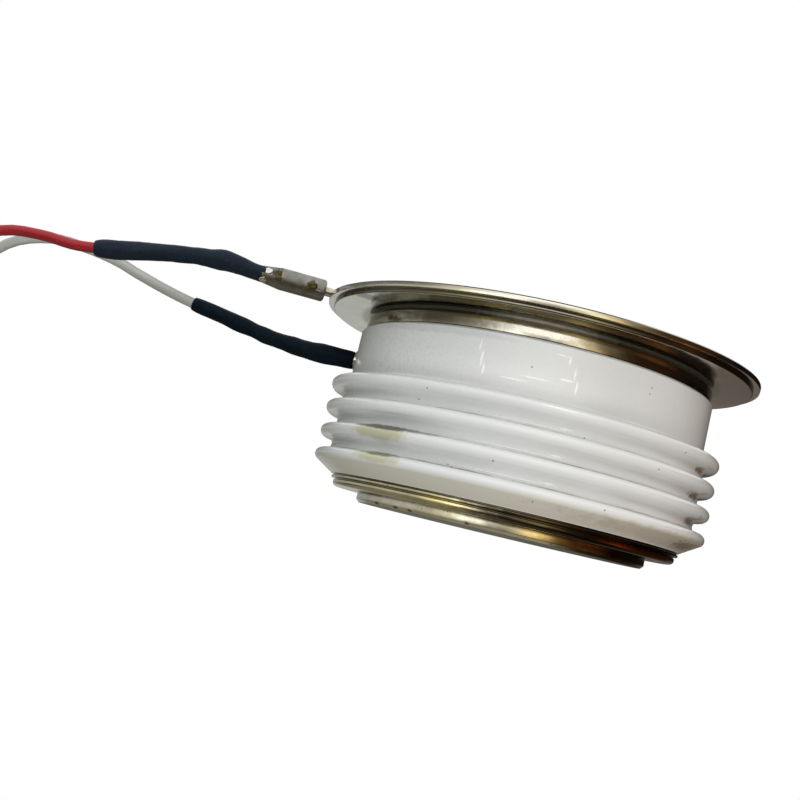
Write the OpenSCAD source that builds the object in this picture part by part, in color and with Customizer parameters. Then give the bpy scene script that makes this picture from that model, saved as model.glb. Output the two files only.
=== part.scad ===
// Disc thyristor in a ribbed ceramic capsule, pressed between two heat sinks in use.
// Millimetres, +Z up, origin at the centre of the lower contact face.

/* [Contact faces] */
// Diameter of the copper column behind each contact face
column_d = 38.4; // [36:0.1:41]
// How far each contact face stands out past its column
face_lip = 0.4; // [0.3:0.05:1]
// Edge chamfer of both contact faces
face_chamfer = 0.35; // [0.1:0.05:0.6]
// Diameter of the centring hole in each face
dowel_d = 3.5; // [2.5:0.1:5]
// Depth of the centring hole in each face
dowel_depth = 2.1; // [1.5:0.1:3]

/* [Ceramic ring] */
// Gap between the columns and the ceramic
bore_gap = 2.3; // [2.2:0.05:2.8]
// Wall of the plain band of the ceramic
ceramic_wall = 2.35; // [2.2:0.05:3]
// Length of the ceramic
ceramic_h = 19.5; // [17.7:0.1:22]
// Small bevel on both outer ends of the ceramic
ceramic_bevel = 0.25; // [0.1:0.05:0.5]
// How far the ribs stand out of the plain band
rib_reach = 2.3; // [1.6:0.05:3]
// Number of ribs
rib_count = 4; // [2:1:4]
// Distance from rib to rib
rib_pitch = 3.2; // [2.8:0.05:3.4]
// Thickness of the rounded rib crest
rib_crest_w = 1.8; // [1.4:0.05:2.2]
// Thickness of a rib at its root
rib_root_w = 2.5; // [2.3:0.05:2.7]
// Middle of the lowest rib above the lower end of the ceramic
rib_first = 2.35; // [2.2:0.05:2.8]

/* [Lower flange] */
// Height of the lower contact face below its flange
lower_step = 1.35; // [0.8:0.05:2]
// How far the dished lower flange stays inside the ceramic's edge
lower_flange_inset = 0.45; // [0.3:0.05:0.8]
// Height of the dished lower flange
lower_flange_h = 1.65; // [1.4:0.05:2]
// Outer bend radius of the dished lower flange
lower_bend = 1; // [0.7:0.05:1.2]
// Sheet thickness of the lower flange
lower_sheet = 0.5; // [0.3:0.05:0.6]
// Width of the brazed lip under the ceramic
lower_lip = 1.5; // [1:0.1:1.8]

/* [Welded rim] */
// Diameter of the welded rim
rim_d = 58.5; // [57:0.1:60]
// How far the lower sheet of the rim stays inside its edge
rim_under_inset = 1.15; // [0.8:0.05:1.6]
// Thickness of the lower sheet of the rim
rim_under_t = 0.5; // [0.4:0.05:0.6]
// How far the ring's foot stays inside the ceramic's edge
ring_foot_inset = 0.35; // [0.3:0.05:0.6]
// How far the shoulder draws the ring in from foot to neck
neck_draw = 0.8; // [0.6:0.05:0.9]
// Wall of the ring's neck
neck_wall = 0.5; // [0.4:0.05:0.6]
// Height of the ring from the ceramic to the lid
ring_h = 2.7; // [2.6:0.05:3.4]
// Height of the straight band at the foot
foot_h = 1.1; // [0.8:0.05:1.2]
// Height of the shoulder from the band to the neck
foot_shoulder_h = 0.3; // [0.2:0.05:0.4]
// Fillet under the rim
neck_fillet = 0.7; // [0.4:0.05:0.8]
// Sheet thickness of the lid
lid_t = 0.4; // [0.3:0.05:0.5]
// Distance from the column to the middle of the round crease in the lid
crease_gap = 1.8; // [1.75:0.05:1.9]
// Inside radius of the crease
crease_r = 0.5; // [0.3:0.05:0.55]
// Distance from the rim's edge to the pinch mark of the cold weld
pinch_inset = 0.55; // [0.4:0.05:0.7]
// Radius of the pinch mark
pinch_r = 0.15; // [0.1:0.01:0.18]
// Height of the upper contact face above the lid
upper_step = 1.5; // [0.8:0.05:2]

/* [Silicon stack] */
// Height of the lower copper column above the lower contact face
lower_column_h = 11.6; // [10.5:0.1:12.5]
// How far the lower molybdenum disc stays inside the column's edge
anode_disc_inset = 0.4; // [0.3:0.05:0.6]
// Thickness of the lower molybdenum disc
anode_disc_t = 2; // [1.5:0.1:2.2]
// How far the silicon wafer stays inside the lower disc's edge
wafer_inset = 0.6; // [0.4:0.05:0.9]
// Thickness of the silicon wafer
wafer_t = 0.6; // [0.4:0.05:0.8]
// Width of the bevel on the wafer's edge
wafer_bevel = 0.8; // [0.4:0.1:1]
// How far the upper molybdenum disc stays inside the wafer's edge
cathode_disc_inset = 1.7; // [1.5:0.05:2.2]
// Thickness of the upper molybdenum disc
cathode_disc_t = 1; // [0.8:0.1:1.4]
// Hole for the gate contact in the upper molybdenum disc
cathode_disc_hole = 4.8; // [4:0.1:5.6]
// Width of the seal ring on the wafer's edge
seal_w = 1.2; // [1:0.1:1.4]
// Height of the seal ring above the wafer
seal_h = 0.35; // [0.2:0.05:0.5]
// How far the end of the upper column stands out past the upper disc
nose_margin = 0.2; // [0.1:0.05:0.4]
// Length of the narrow part of the upper column
nose_h = 3.8; // [3.2:0.1:4.2]
// Length of the taper above the narrow part
nose_taper_h = 1.5; // [1:0.1:2]
// Wall of the ring that centres the discs
locating_wall = 1.9; // [1.6:0.05:2]
// How far the centring ring reaches down over the lower column
locating_skirt = 2.4; // [2:0.1:3]
// How far the centring ring reaches up past the discs
locating_collar = 1.2; // [0.8:0.1:1.6]

/* [Gate contact] */
// Bore for the gate contact in the upper column
gate_bore_d = 6.4; // [6:0.1:7.2]
// Depth of that bore
gate_bore_h = 5.6; // [5.4:0.1:6.2]
// Wall of the insulating cup in that bore
cup_wall = 0.8; // [0.6:0.05:0.9]
// Diameter of the contact pin's tip
gate_tip_d = 2; // [1.6:0.1:2.4]
// Diameter of the contact pin's collar
gate_collar_d = 4; // [3.8:0.1:4.2]
// Thickness of the contact pin's collar
gate_collar_t = 0.8; // [0.7:0.05:0.9]
// Height of the collar above the wafer
gate_collar_z = 2.2; // [2.1:0.05:2.4]
// Diameter of the contact pin's stem inside the spring
gate_stem_d = 1.6; // [1.4:0.1:1.8]
// Length of that stem
gate_stem_h = 1.4; // [1:0.1:1.8]
// Wire thickness of the spring
spring_wire_d = 0.45; // [0.35:0.05:0.5]
// Number of turns of the spring
spring_turns = 4; // [3:1:5]

/* [Gate terminal] */
// Height of the gate tube above the lower end of the ceramic
gate_z = 15.8; // [15:0.1:16]
// Outer diameter of the gate tube
gate_tube_d = 1.7; // [1.6:0.05:1.9]
// Bore of the gate tube
gate_tube_bore = 1.2; // [1:0.05:1.3]
// How far the gate tube stands out of the ceramic
gate_tube_out = 4.3; // [3.5:0.1:4.4]
// Diameter of the braze collar round the gate tube
braze_d = 2.8; // [2.4:0.1:3.2]
// Thickness of the braze collar
braze_t = 0.35; // [0.2:0.05:0.4]
// Width of the slot for the gate wire in the upper column
wire_slot_w = 1.8; // [1.7:0.1:2.4]
// Diameter of the gate wire
gate_wire_d = 0.7; // [0.5:0.05:0.8]
// Outer diameter of the insulating tube on the gate wire
wire_tube_d = 1.5; // [1.3:0.05:1.6]

/* [Rim terminal] */
// Angle of the rim terminal round the capsule
terminal_angle = 198; // [190:1:210]
// Diameter of the terminal pin
pin_d = 1.2; // [1:0.05:1.25]
// How far the pin stands out past the rim
pin_out = 4; // [3:0.1:4.5]
// Length of the pin's flat seat on the rim
pin_seat = 2.4; // [1.8:0.1:3]
// Outer diameter of the crimp barrel
barrel_d = 2.9; // [2.6:0.05:3]
// Length of the crimp barrel
barrel_len = 8.7; // [8:0.1:8.7]
// Gap between the rim and the crimp barrel
barrel_gap = 0.95; // [0.5:0.05:1.2]
// Diameter of the crimp barrel's drawn-in end
barrel_end_d = 2.1; // [2:0.05:2.4]
// Length over which the crimp barrel is drawn in
barrel_draw_len = 2.8; // [2:0.1:3.4]
// Bore of the solder cup in the crimp barrel
barrel_cup_d = 1.5; // [1.4:0.05:1.6]
// Depth of the solder cup
barrel_cup_h = 3.4; // [3:0.1:4]
// Length of the window in the solder cup
barrel_window = 2.7; // [1.8:0.1:3]
// Diameter of the inspection hole over the pin
barrel_hole_d = 1; // [0.6:0.1:1.2]
// Distance from the barrel's inner end to that hole
barrel_hole_in = 1.7; // [1.4:0.1:2]
// Diameter of the bare conductor in the crimp barrel
core_d = 0.9; // [0.7:0.05:1]

/* [Leads] */
// Diameter of the red lead
red_d = 1.4; // [1.2:0.05:1.5]
// Diameter of the white lead
white_d = 1.46; // [1.3:0.02:1.5]
// Wall of the shrink sleeves
sleeve_wall = 0.3; // [0.25:0.01:0.4]
// Mean diameter of both coils
coil_d = 16.5; // [15:0.1:17]
// Width of the coiled bundle
coil_w = 3; // [2.6:0.1:3.2]
// Height of the coiled bundle
coil_h = 3; // [2.6:0.1:3]
// Length of the straight end that leaves each coil
tail_len = 9; // [6:0.5:14]
// Length of the stripped and tinned tip
tip_len = 6; // [4:0.5:8]
// Diameter of the tinned tip
tip_d = 0.9; // [0.7:0.05:1]

/* [Hidden] */

$fn = 96;
// Length that a cutting tool runs past the face that it cuts
cut = 1;
// Running clearance between inner pieces that are laid in, not brazed
fit = 0.1;

// Diameters of the capsule, each built on the one inside it
face_d = column_d + 2 * face_lip;
ceramic_bore = column_d + 2 * bore_gap;
ceramic_d = ceramic_bore + 2 * ceramic_wall;
rib_d = ceramic_d + 2 * rib_reach;
lower_flange_d = ceramic_d - 2 * lower_flange_inset;
ring_foot_d = ceramic_d - 2 * ring_foot_inset;
neck_d = ring_foot_d - 2 * neck_draw;
neck_bore = neck_d - 2 * neck_wall;
crease_d = column_d + 2 * crease_gap;
rim_under_d = rim_d - 2 * rim_under_inset;
pinch_d = rim_d - 2 * pinch_inset;

// Diameters of the stack
anode_disc_d = column_d - 2 * anode_disc_inset;
wafer_d = anode_disc_d - 2 * wafer_inset;
cathode_disc_d = wafer_d - 2 * cathode_disc_inset;
nose_d = cathode_disc_d + 2 * nose_margin;

// Heights of the stack, from the lower contact face up
ceramic_z = lower_step + lower_flange_h;
ring_z = ceramic_z + ceramic_h;
lid_z = ring_z + ring_h;
lid_top = lid_z + lid_t;
stack_h = lid_top + upper_step;
wafer_z = lower_column_h + anode_disc_t;
cathode_disc_z = wafer_z + wafer_t;
nose_z = cathode_disc_z + cathode_disc_t;

// Ribs of the ceramic
rib_first_z = ceramic_z + rib_first;
rib_crest_r = rib_crest_w / 2;
// How far a rib's section reaches into the wall behind it
rib_sunk = 0.5;

// Ring that centres the discs
locating_r = column_d / 2 + locating_wall;
locating_top = cathode_disc_z + locating_collar;

// Gate contact and its wire
gate_tip_z = cathode_disc_z;
gate_collar_low = gate_tip_z + gate_collar_z;
gate_collar_top = gate_collar_low + gate_collar_t;
cup_r = gate_bore_d / 2 - fit;
cup_inner_r = cup_r - cup_wall;
cup_top = nose_z + gate_bore_h;
cup_low = nose_z + fit;
spring_top = cup_top - cup_wall;
spring_mean_r = cup_inner_r - fit - spring_wire_d / 2;
tube_z = ceramic_z + gate_z;
wire_slot_gap = 0.5;
wire_slot_top = tube_z + wire_tube_d / 2 + wire_slot_gap;
tube_inner_x = ceramic_bore / 2;
tube_outer_x = ceramic_d / 2 + gate_tube_out;
gate_solder_len = 2;
gate_solder_cap = 0.3;
// Bevel on the contact pin's tip
gate_tip_bevel = 0.2;

// Rim terminal: the pin's axis lies in the top of the lid, so its seat is half a pin
pin_z = lid_top;
barrel_start = rim_d / 2 + barrel_gap;
barrel_end = barrel_start + barrel_len;
pin_end = rim_d / 2 + pin_out;
core_len = 2.4;
barrel_round = 0.35;
// Two mounds of solder on the pin's seat: distances in from the rim, radius and how far each ball is sunk
solder_backs = [1.3, 2.1];
solder_ball_r = 1.4;
solder_sunk = 0.7;

// Route of the red lead: its first seven points lie in the shrink sleeve
RED_ROUTE = [[-37.19, -12.08, 25.6], [-41, -12.9, 26], [-44.2, -13.4, 25.85], [-47.4, -13.9, 25.45],
             [-50.2, -14.2, 25], [-54.1, -14.6, 24.25], [-58, -15, 23.7], [-61.1, -15.2, 23.5],
             [-65.3, -15.4, 23.8], [-70.5, -15.8, 23.2], [-77, -16.5, 19.6], [-83.5, -18, 13],
             [-88.5, -19.4, 7], [-93, -20.1, 4.2], [-97, -20.2, 3.7]];
RED_COIL = [-97, -12];
RED_SLEEVE_POINTS = 7;
// Route of the white lead: its first six points lie in the shrink sleeve, the first two on the gate tube
WHITE_ROUTE = [[-24.3, 0, 18.8], [-28.8, 0, 18.8], [-33, -0.1, 19], [-37, -0.1, 19.45], [-41.2, -0.1, 20.35],
               [-48.4, -0.3, 21.75], [-52.8, -0.6, 22.8], [-57.2, -1, 24.1], [-60.6, -1.4, 25.2],
               [-65.2, -1.9, 26], [-70.5, -2.2, 26.2], [-76.5, -2.5, 24], [-82.5, -2.2, 17.5],
               [-86.5, -1.4, 10.4], [-89.8, -0.6, 5.4], [-93, -0.2, 3.8]];
WHITE_COIL = [-93, 8.05];
WHITE_SLEEVE_POINTS = 6;
// Rings of that sleeve that lie on the gate tube
GATE_SLEEVE_WIDE = 4;
// Route of the gate wire inside the capsule, from the contact pin's collar up to the gate tube
wire_low = gate_collar_low + gate_collar_t / 2;
wire_rise = tube_z - wire_low;
wire_end = tube_outer_x - gate_solder_len - fit;
// Distances from the axis of three points on the wire's climb, and the share of the rise reached at each
wire_bends = [6, 10, 14];
wire_shares = [0, 0.25, 0.85];
GATE_WIRE_ROUTE = concat(
    [[-gate_collar_d / 2, 0, wire_low]],
    [for (i = [0 : 2]) [-wire_bends[i], 0, wire_low + wire_shares[i] * wire_rise]],
    [[-nose_d / 2 - fit, 0, tube_z], [-wire_end, 0, tube_z]]);
// Points between two route points, and sides of each round cord
ROUTE_STEPS = 2;
CORD_SIDES = 8;
// Points in one turn of the spring
SPRING_STEPS = 16;
// Corner radius of the coiled bundle, and the directions in which the two straight ends leave their coils
coil_corner = 0.6;
red_tail_angle = 150;
white_tail_angle = 120;
// How far the fillet under the rim reaches into the neck
fillet_sunk = 0.1;

function unit(v) = v / norm(v);
function catmull(a, b, c, d, t) =
    0.5 * (2 * b + (c - a) * t + (2 * a - 5 * b + 4 * c - d) * t * t + (3 * b - a - 3 * c + d) * t * t * t);
function smooth(route, steps) = concat(
    [for (i = [0 : len(route) - 2]) for (k = [0 : steps - 1])
        catmull(route[max(i - 1, 0)], route[i], route[i + 1], route[min(i + 2, len(route) - 1)], k / steps)],
    [route[len(route) - 1]]);
function heading(path, i) = unit(path[min(i + 1, len(path) - 1)] - path[max(i - 1, 0)]);
// One frame per point, each turned as little as possible from the one before
function frames(path, i, side) = i >= len(path) ? [] :
    let (t = heading(path, i), u = unit(side - (side * t) * t))
    concat([[path[i], u, cross(t, u)]], frames(path, i + 1, u));
function slice(list, first, last) = [for (i = [first : last]) list[i]];
function ring_points(frame, r) =
    [for (k = [0 : CORD_SIDES - 1])
        frame[0] + r * (cos(360 * k / CORD_SIDES) * frame[1] + sin(360 * k / CORD_SIDES) * frame[2])];
function wall_faces(first, rings, flip) = [
    for (i = [0 : rings - 2]) for (k = [0 : CORD_SIDES - 1])
        let (a = first + i * CORD_SIDES + k, b = first + i * CORD_SIDES + (k + 1) % CORD_SIDES)
        each flip ? [[a, b + CORD_SIDES, b], [a, a + CORD_SIDES, b + CORD_SIDES]]
                  : [[a, b, b + CORD_SIDES], [a, b + CORD_SIDES, a + CORD_SIDES]]];

// Solid round cord through a list of frames
module cord(fr, r) {
    n = len(fr);
    points = [for (f = fr) each ring_points(f, r)];
    near_end = [for (k = [CORD_SIDES - 1 : -1 : 0]) k];
    far_end = [for (k = [0 : CORD_SIDES - 1]) (n - 1) * CORD_SIDES + k];
    polyhedron(points, concat(wall_faces(0, n, false), [near_end, far_end]));
}

// Hollow sleeve through a list of frames, with one outer and one inner radius per frame
module sleeve(fr, outer, inner) {
    n = len(fr);
    half = n * CORD_SIDES;
    points = concat([for (i = [0 : n - 1]) each ring_points(fr[i], outer[i])],
                    [for (i = [0 : n - 1]) each ring_points(fr[i], inner[i])]);
    near_end = [for (k = [0 : CORD_SIDES - 1]) let (m = (k + 1) % CORD_SIDES)
        each [[k, half + k, half + m], [k, half + m, m]]];
    last = (n - 1) * CORD_SIDES;
    far_end = [for (k = [0 : CORD_SIDES - 1]) let (m = (k + 1) % CORD_SIDES)
        each [[last + k, half + last + m, half + last + k], [last + k, last + m, half + last + m]]];
    polyhedron(points, concat(wall_faces(0, n, false), wall_faces(half, n, true), near_end, far_end));
}

RED_FRAMES = frames(smooth(RED_ROUTE, ROUTE_STEPS), 0, [0, 0, 1]);
RED_SLEEVE_LAST = (RED_SLEEVE_POINTS - 1) * ROUTE_STEPS;
WHITE_FRAMES = frames(smooth(WHITE_ROUTE, ROUTE_STEPS), 0, [0, 0, 1]);
WHITE_SLEEVE_LAST = (WHITE_SLEEVE_POINTS - 1) * ROUTE_STEPS;
GATE_WIRE_FRAMES = frames(smooth(GATE_WIRE_ROUTE, ROUTE_STEPS), 0, [0, 0, 1]);

// Places a piece on the rim terminal's own axis, with X running outwards from the capsule's axis
module on_terminal() {
    rotate([0, 0, terminal_angle]) translate([0, 0, pin_z]) children();
}

// Cylinder along X
module rod(from_x, to_x, d) {
    translate([from_x, 0, 0]) rotate([0, 90, 0]) cylinder(h = to_x - from_x, d = d);
}

// Cylinder along -X at the height of the gate tube
module gate_rod(from_x, to_x, d) {
    translate([-from_x, 0, tube_z]) rotate([0, -90, 0]) cylinder(h = to_x - from_x, d = d);
}

// Half section of one rib: a tapered root and a round crest
module rib_profile(z) {
    crest_x = rib_d / 2 - rib_crest_r;
    root_x = ceramic_d / 2 - rib_sunk;
    translate([crest_x, z]) circle(r = rib_crest_r);
    polygon([[root_x, z - rib_root_w / 2], [ceramic_d / 2, z - rib_root_w / 2],
             [crest_x, z - rib_crest_r], [crest_x, z + rib_crest_r],
             [ceramic_d / 2, z + rib_root_w / 2], [root_x, z + rib_root_w / 2]]);
}

// The lowest rib runs into the lower end of the ceramic with a slanted foot
module rib_foot_profile() {
    crest_x = rib_d / 2 - rib_crest_r;
    slant = rib_crest_r * sin(45);
    polygon([[ceramic_d / 2 - rib_sunk, ceramic_z + ceramic_bevel],
             [ceramic_d / 2, ceramic_z + ceramic_bevel], [crest_x + slant, rib_first_z - slant],
             [ceramic_d / 2 - rib_sunk, rib_first_z]]);
}

module ceramic_housing() {
    color("whitesmoke")
    difference() {
        rotate_extrude() {
            polygon([[ceramic_bore / 2, ceramic_z], [ceramic_d / 2 - ceramic_bevel, ceramic_z],
                     [ceramic_d / 2, ceramic_z + ceramic_bevel], [ceramic_d / 2, ring_z - ceramic_bevel],
                     [ceramic_d / 2 - ceramic_bevel, ring_z], [ceramic_bore / 2, ring_z]]);
            for (i = [0 : rib_count - 1]) rib_profile(rib_first_z + i * rib_pitch);
            rib_foot_profile();
        }
        gate_rod(ceramic_bore / 2 - cut, ceramic_d / 2 + cut, gate_tube_d);
    }
}

// Lower contact face with its chamfered edge, the step that carries the flange, and the column
module anode_pole() {
    color("silver")
    difference() {
        rotate_extrude()
        polygon([[0, 0], [face_d / 2 - face_chamfer, 0], [face_d / 2, face_chamfer],
                 [face_d / 2, lower_step], [column_d / 2, lower_step],
                 [column_d / 2, lower_column_h], [0, lower_column_h]]);
        translate([0, 0, -cut]) cylinder(h = dowel_depth + cut, d = dowel_d);
    }
}

// Dished sheet: a brazed lip under the ceramic, a bent wall and a flat floor on the pole's shoulder
module anode_flange() {
    outer = lower_flange_d / 2;
    inner = outer - lower_sheet;
    floor_z = lower_step;
    lip_z = ceramic_z - lower_sheet;
    color("silver")
    rotate_extrude() {
        translate([column_d / 2, floor_z]) square([outer - lower_bend - column_d / 2, lower_sheet]);
        intersection() {
            translate([outer - lower_bend, floor_z + lower_bend]) difference() {
                circle(r = lower_bend);
                circle(r = lower_bend - lower_sheet);
            }
            translate([outer - lower_bend, floor_z]) square(lower_bend);
        }
        translate([inner, floor_z + lower_bend]) square([lower_sheet, ceramic_z - floor_z - lower_bend]);
        translate([outer - lower_lip, lip_z]) square([lower_lip, lower_sheet]);
    }
}

// Ring on the ceramic: straight foot, shoulder to the neck, fillet and the lower sheet of the rim
module weld_ring() {
    sheet_z = lid_z - rim_under_t;
    shoulder_z = ring_z + foot_h + foot_shoulder_h;
    color("silver")
    rotate_extrude() {
        polygon([[neck_bore / 2, ring_z], [ring_foot_d / 2, ring_z], [ring_foot_d / 2, ring_z + foot_h],
                 [neck_d / 2, shoulder_z], [neck_d / 2, lid_z], [neck_bore / 2, lid_z]]);
        difference() {
            translate([neck_d / 2 - fillet_sunk, sheet_z - neck_fillet]) square(neck_fillet + fillet_sunk);
            translate([neck_d / 2 + neck_fillet, sheet_z - neck_fillet]) circle(r = neck_fillet);
        }
        translate([neck_bore / 2, sheet_z]) square([rim_under_d / 2 - neck_bore / 2, rim_under_t]);
    }
}

// Lid sheet: seated under the upper face, a round crease that lets the pole move, and the rim
module lid_flange() {
    color("silver")
    rotate_extrude()
    difference() {
        union() {
            translate([column_d / 2, lid_z]) square([rim_d / 2 - column_d / 2 - lid_t / 2, lid_t]);
            translate([rim_d / 2 - lid_t / 2, lid_z + lid_t / 2]) circle(r = lid_t / 2);
            intersection() {
                translate([crease_d / 2, lid_top]) circle(r = crease_r + lid_t);
                translate([crease_d / 2 - crease_r - lid_t, lid_top - crease_r - lid_t])
                    square([2 * (crease_r + lid_t), crease_r + lid_t]);
            }
        }
        translate([crease_d / 2, lid_top]) circle(r = crease_r);
        translate([pinch_d / 2, lid_z]) circle(r = pinch_r);
        translate([pinch_d / 2, lid_top]) circle(r = pinch_r);
    }
}

// Narrow nose on the upper disc, taper, column, and the step with the upper contact face
module cathode_pole() {
    nose_top = nose_z + nose_h;
    color("silver")
    difference() {
        rotate_extrude()
        polygon([[0, nose_z], [nose_d / 2, nose_z], [nose_d / 2, nose_top],
                 [column_d / 2, nose_top + nose_taper_h], [column_d / 2, lid_top], [face_d / 2, lid_top],
                 [face_d / 2, stack_h - face_chamfer], [face_d / 2 - face_chamfer, stack_h], [0, stack_h]]);
        translate([0, 0, stack_h - dowel_depth]) cylinder(h = dowel_depth + cut, d = dowel_d);
        translate([0, 0, nose_z - cut]) cylinder(h = gate_bore_h + cut, d = gate_bore_d);
        translate([-column_d / 2 - cut, -wire_slot_w / 2, nose_z - cut])
            cube([column_d / 2 + cut, wire_slot_w, wire_slot_top - nose_z + cut]);
    }
}

module anode_disc() {
    color("gray") translate([0, 0, lower_column_h]) cylinder(h = anode_disc_t, d = anode_disc_d);
}

// The wafer's edge is bevelled to hold off the voltage
module silicon_wafer() {
    color("dimgray")
    rotate_extrude()
    polygon([[0, wafer_z], [wafer_d / 2, wafer_z],
             [wafer_d / 2 - wafer_bevel, cathode_disc_z], [0, cathode_disc_z]]);
}

// Rubber ring cast over the wafer's bevelled edge
module edge_seal() {
    seal_in = wafer_d / 2 - seal_w;
    seal_out = anode_disc_d / 2;
    seal_top = cathode_disc_z + seal_h;
    color("firebrick")
    rotate_extrude()
    polygon([[wafer_d / 2, wafer_z], [seal_out, wafer_z], [seal_out, cathode_disc_z],
             [wafer_d / 2 - wafer_bevel / 2, seal_top], [seal_in, seal_top],
             [seal_in, cathode_disc_z], [wafer_d / 2 - wafer_bevel, cathode_disc_z]]);
}

module cathode_disc() {
    color("gray")
    difference() {
        translate([0, 0, cathode_disc_z]) cylinder(h = cathode_disc_t, d = cathode_disc_d);
        translate([0, 0, cathode_disc_z - cut]) cylinder(h = cathode_disc_t + 2 * cut, d = cathode_disc_hole);
    }
}

// Plastic ring pushed over the lower column: its step rests on the column and centres the discs
module locating_ring() {
    color("ivory")
    rotate_extrude()
    polygon([[column_d / 2, lower_column_h - locating_skirt], [locating_r, lower_column_h - locating_skirt],
             [locating_r, locating_top], [anode_disc_d / 2 + fit, locating_top],
             [anode_disc_d / 2 + fit, lower_column_h], [column_d / 2, lower_column_h]]);
}

// Insulating cup for the gate contact, open below and notched for the wire
module gate_insulator() {
    color("ivory")
    difference() {
        translate([0, 0, cup_low]) cylinder(h = cup_top - cup_low, r = cup_r);
        translate([0, 0, cup_low - cut]) cylinder(h = spring_top - cup_low + cut, r = cup_inner_r);
        translate([-cup_r - cut, -wire_slot_w / 2, cup_low - cut])
            cube([cup_r + cut, wire_slot_w, gate_collar_top - cup_low + cut]);
    }
}

// Compression spring: one round wire wound between the pin's collar and the top of the cup
module gate_spring() {
    low = gate_collar_top + spring_wire_d / 2;
    high = spring_top - spring_wire_d / 2;
    steps = spring_turns * SPRING_STEPS;
    path = [for (i = [0 : steps]) let (a = 360 * i / SPRING_STEPS)
        [spring_mean_r * cos(a), spring_mean_r * sin(a), low + (high - low) * i / steps]];
    color("gold") cord(frames(path, 0, [0, 0, 1]), spring_wire_d / 2);
}

module gate_pin() {
    color("silver")
    rotate_extrude()
    polygon([[0, gate_tip_z], [gate_tip_d / 2 - gate_tip_bevel, gate_tip_z],
             [gate_tip_d / 2, gate_tip_z + gate_tip_bevel], [gate_tip_d / 2, gate_collar_low],
             [gate_collar_d / 2, gate_collar_low],
             [gate_collar_d / 2, gate_collar_top], [gate_stem_d / 2, gate_collar_top],
             [gate_stem_d / 2, gate_collar_top + gate_stem_h], [0, gate_collar_top + gate_stem_h]]);
}

module gate_wire() {
    color("silver")
    difference() {
        cord(GATE_WIRE_FRAMES, gate_wire_d / 2);
        translate([0, 0, gate_collar_low]) cylinder(h = gate_collar_t, d = gate_collar_d);
    }
}

module gate_wire_tube() {
    color("white")
    difference() {
        gate_rod(nose_d / 2 + fit, ceramic_bore / 2 - fit, wire_tube_d);
        gate_rod(nose_d / 2 - cut, ceramic_bore / 2 + cut, gate_wire_d + fit);
    }
}

module gate_tube() {
    color("silver")
    difference() {
        gate_rod(tube_inner_x, tube_outer_x, gate_tube_d);
        gate_rod(tube_inner_x - cut, tube_outer_x + cut, gate_tube_bore);
    }
}

// Braze collar round the tube, against the outside of the ceramic
module gate_braze() {
    color("silver")
    difference() {
        gate_rod(ceramic_d / 2, ceramic_d / 2 + braze_t, braze_d);
        gate_rod(ceramic_d / 2 - cut, ceramic_d / 2 + cut, gate_tube_d);
    }
}

module gate_solder() {
    color("lightgray") {
        gate_rod(tube_outer_x - gate_solder_len, tube_outer_x, gate_tube_bore);
        gate_rod(tube_outer_x, tube_outer_x + gate_solder_cap, gate_tube_d - 2 * fit);
    }
}

// Shrink sleeve over the gate tube and the start of the white lead
module gate_sleeve() {
    fr = slice(WHITE_FRAMES, 0, WHITE_SLEEVE_LAST);
    on_tube = gate_tube_d / 2 / cos(180 / CORD_SIDES) + fit / 2;
    on_lead = white_d / 2 + fit / 2;
    inner = [for (i = [0 : len(fr) - 1]) i < GATE_SLEEVE_WIDE ? on_tube : on_lead];
    color("midnightblue") sleeve(fr, [for (r = inner) r + sleeve_wall], inner);
}

module white_lead() {
    color("white") cord(slice(WHITE_FRAMES, ROUTE_STEPS, len(WHITE_FRAMES) - 1), white_d / 2);
}

// Closed ring in the outer shape of a coiled cord, lying flat, with its round corners
module coil(centre) {
    translate([centre[0], centre[1], 0])
    rotate_extrude() {
        translate([coil_d / 2 - coil_w / 2 + coil_corner, 0]) square([coil_w - 2 * coil_corner, coil_h]);
        translate([coil_d / 2 - coil_w / 2, coil_corner]) square([coil_w, coil_h - 2 * coil_corner]);
        for (x = [-1, 1], z = [coil_corner, coil_h - coil_corner])
            translate([coil_d / 2 + x * (coil_w / 2 - coil_corner), z]) circle(r = coil_corner);
    }
}

// Lays a straight end on the ground, along the outer turn where it leaves the coil
module at_coil_exit(centre, angle, d) {
    reach = sqrt(pow((coil_d + coil_w) / 2, 2) - pow((coil_d + coil_w) / 2 - d, 2));
    translate([centre[0], centre[1], 0]) rotate([0, 0, angle])
        translate([reach + fit / 2, (coil_d + coil_w) / 2 - d / 2, d / 2 + fit / 2]) children();
}

module white_lead_coil() {
    color("white") coil(WHITE_COIL);
}

module white_lead_tail() {
    color("white") at_coil_exit(WHITE_COIL, white_tail_angle, white_d) rod(0, tail_len, white_d);
}

module white_lead_tip() {
    color("silver")
        at_coil_exit(WHITE_COIL, white_tail_angle, white_d) rod(tail_len, tail_len + tip_len, tip_d);
}

// Pin whose inner end is cut to lie flat on the rim
module terminal_pin() {
    color("silver")
    difference() {
        on_terminal() rod(rim_d / 2 - pin_seat, pin_end, pin_d);
        translate([0, 0, lid_z - cut]) cylinder(h = lid_t + cut, r = rim_d / 2 + fit / 2);
    }
}

// Two small mounds of solder over the pin's seat
module terminal_solder() {
    color("lightgray")
    difference() {
        intersection() {
            rotate([0, 0, terminal_angle]) for (back = solder_backs)
                translate([rim_d / 2 - back, 0, lid_top - solder_sunk]) sphere(r = solder_ball_r);
            translate([0, 0, lid_top]) cylinder(h = solder_ball_r, d = rim_d);
        }
        on_terminal() rod(rim_d / 2 - pin_seat, pin_end, pin_d);
    }
}

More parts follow.
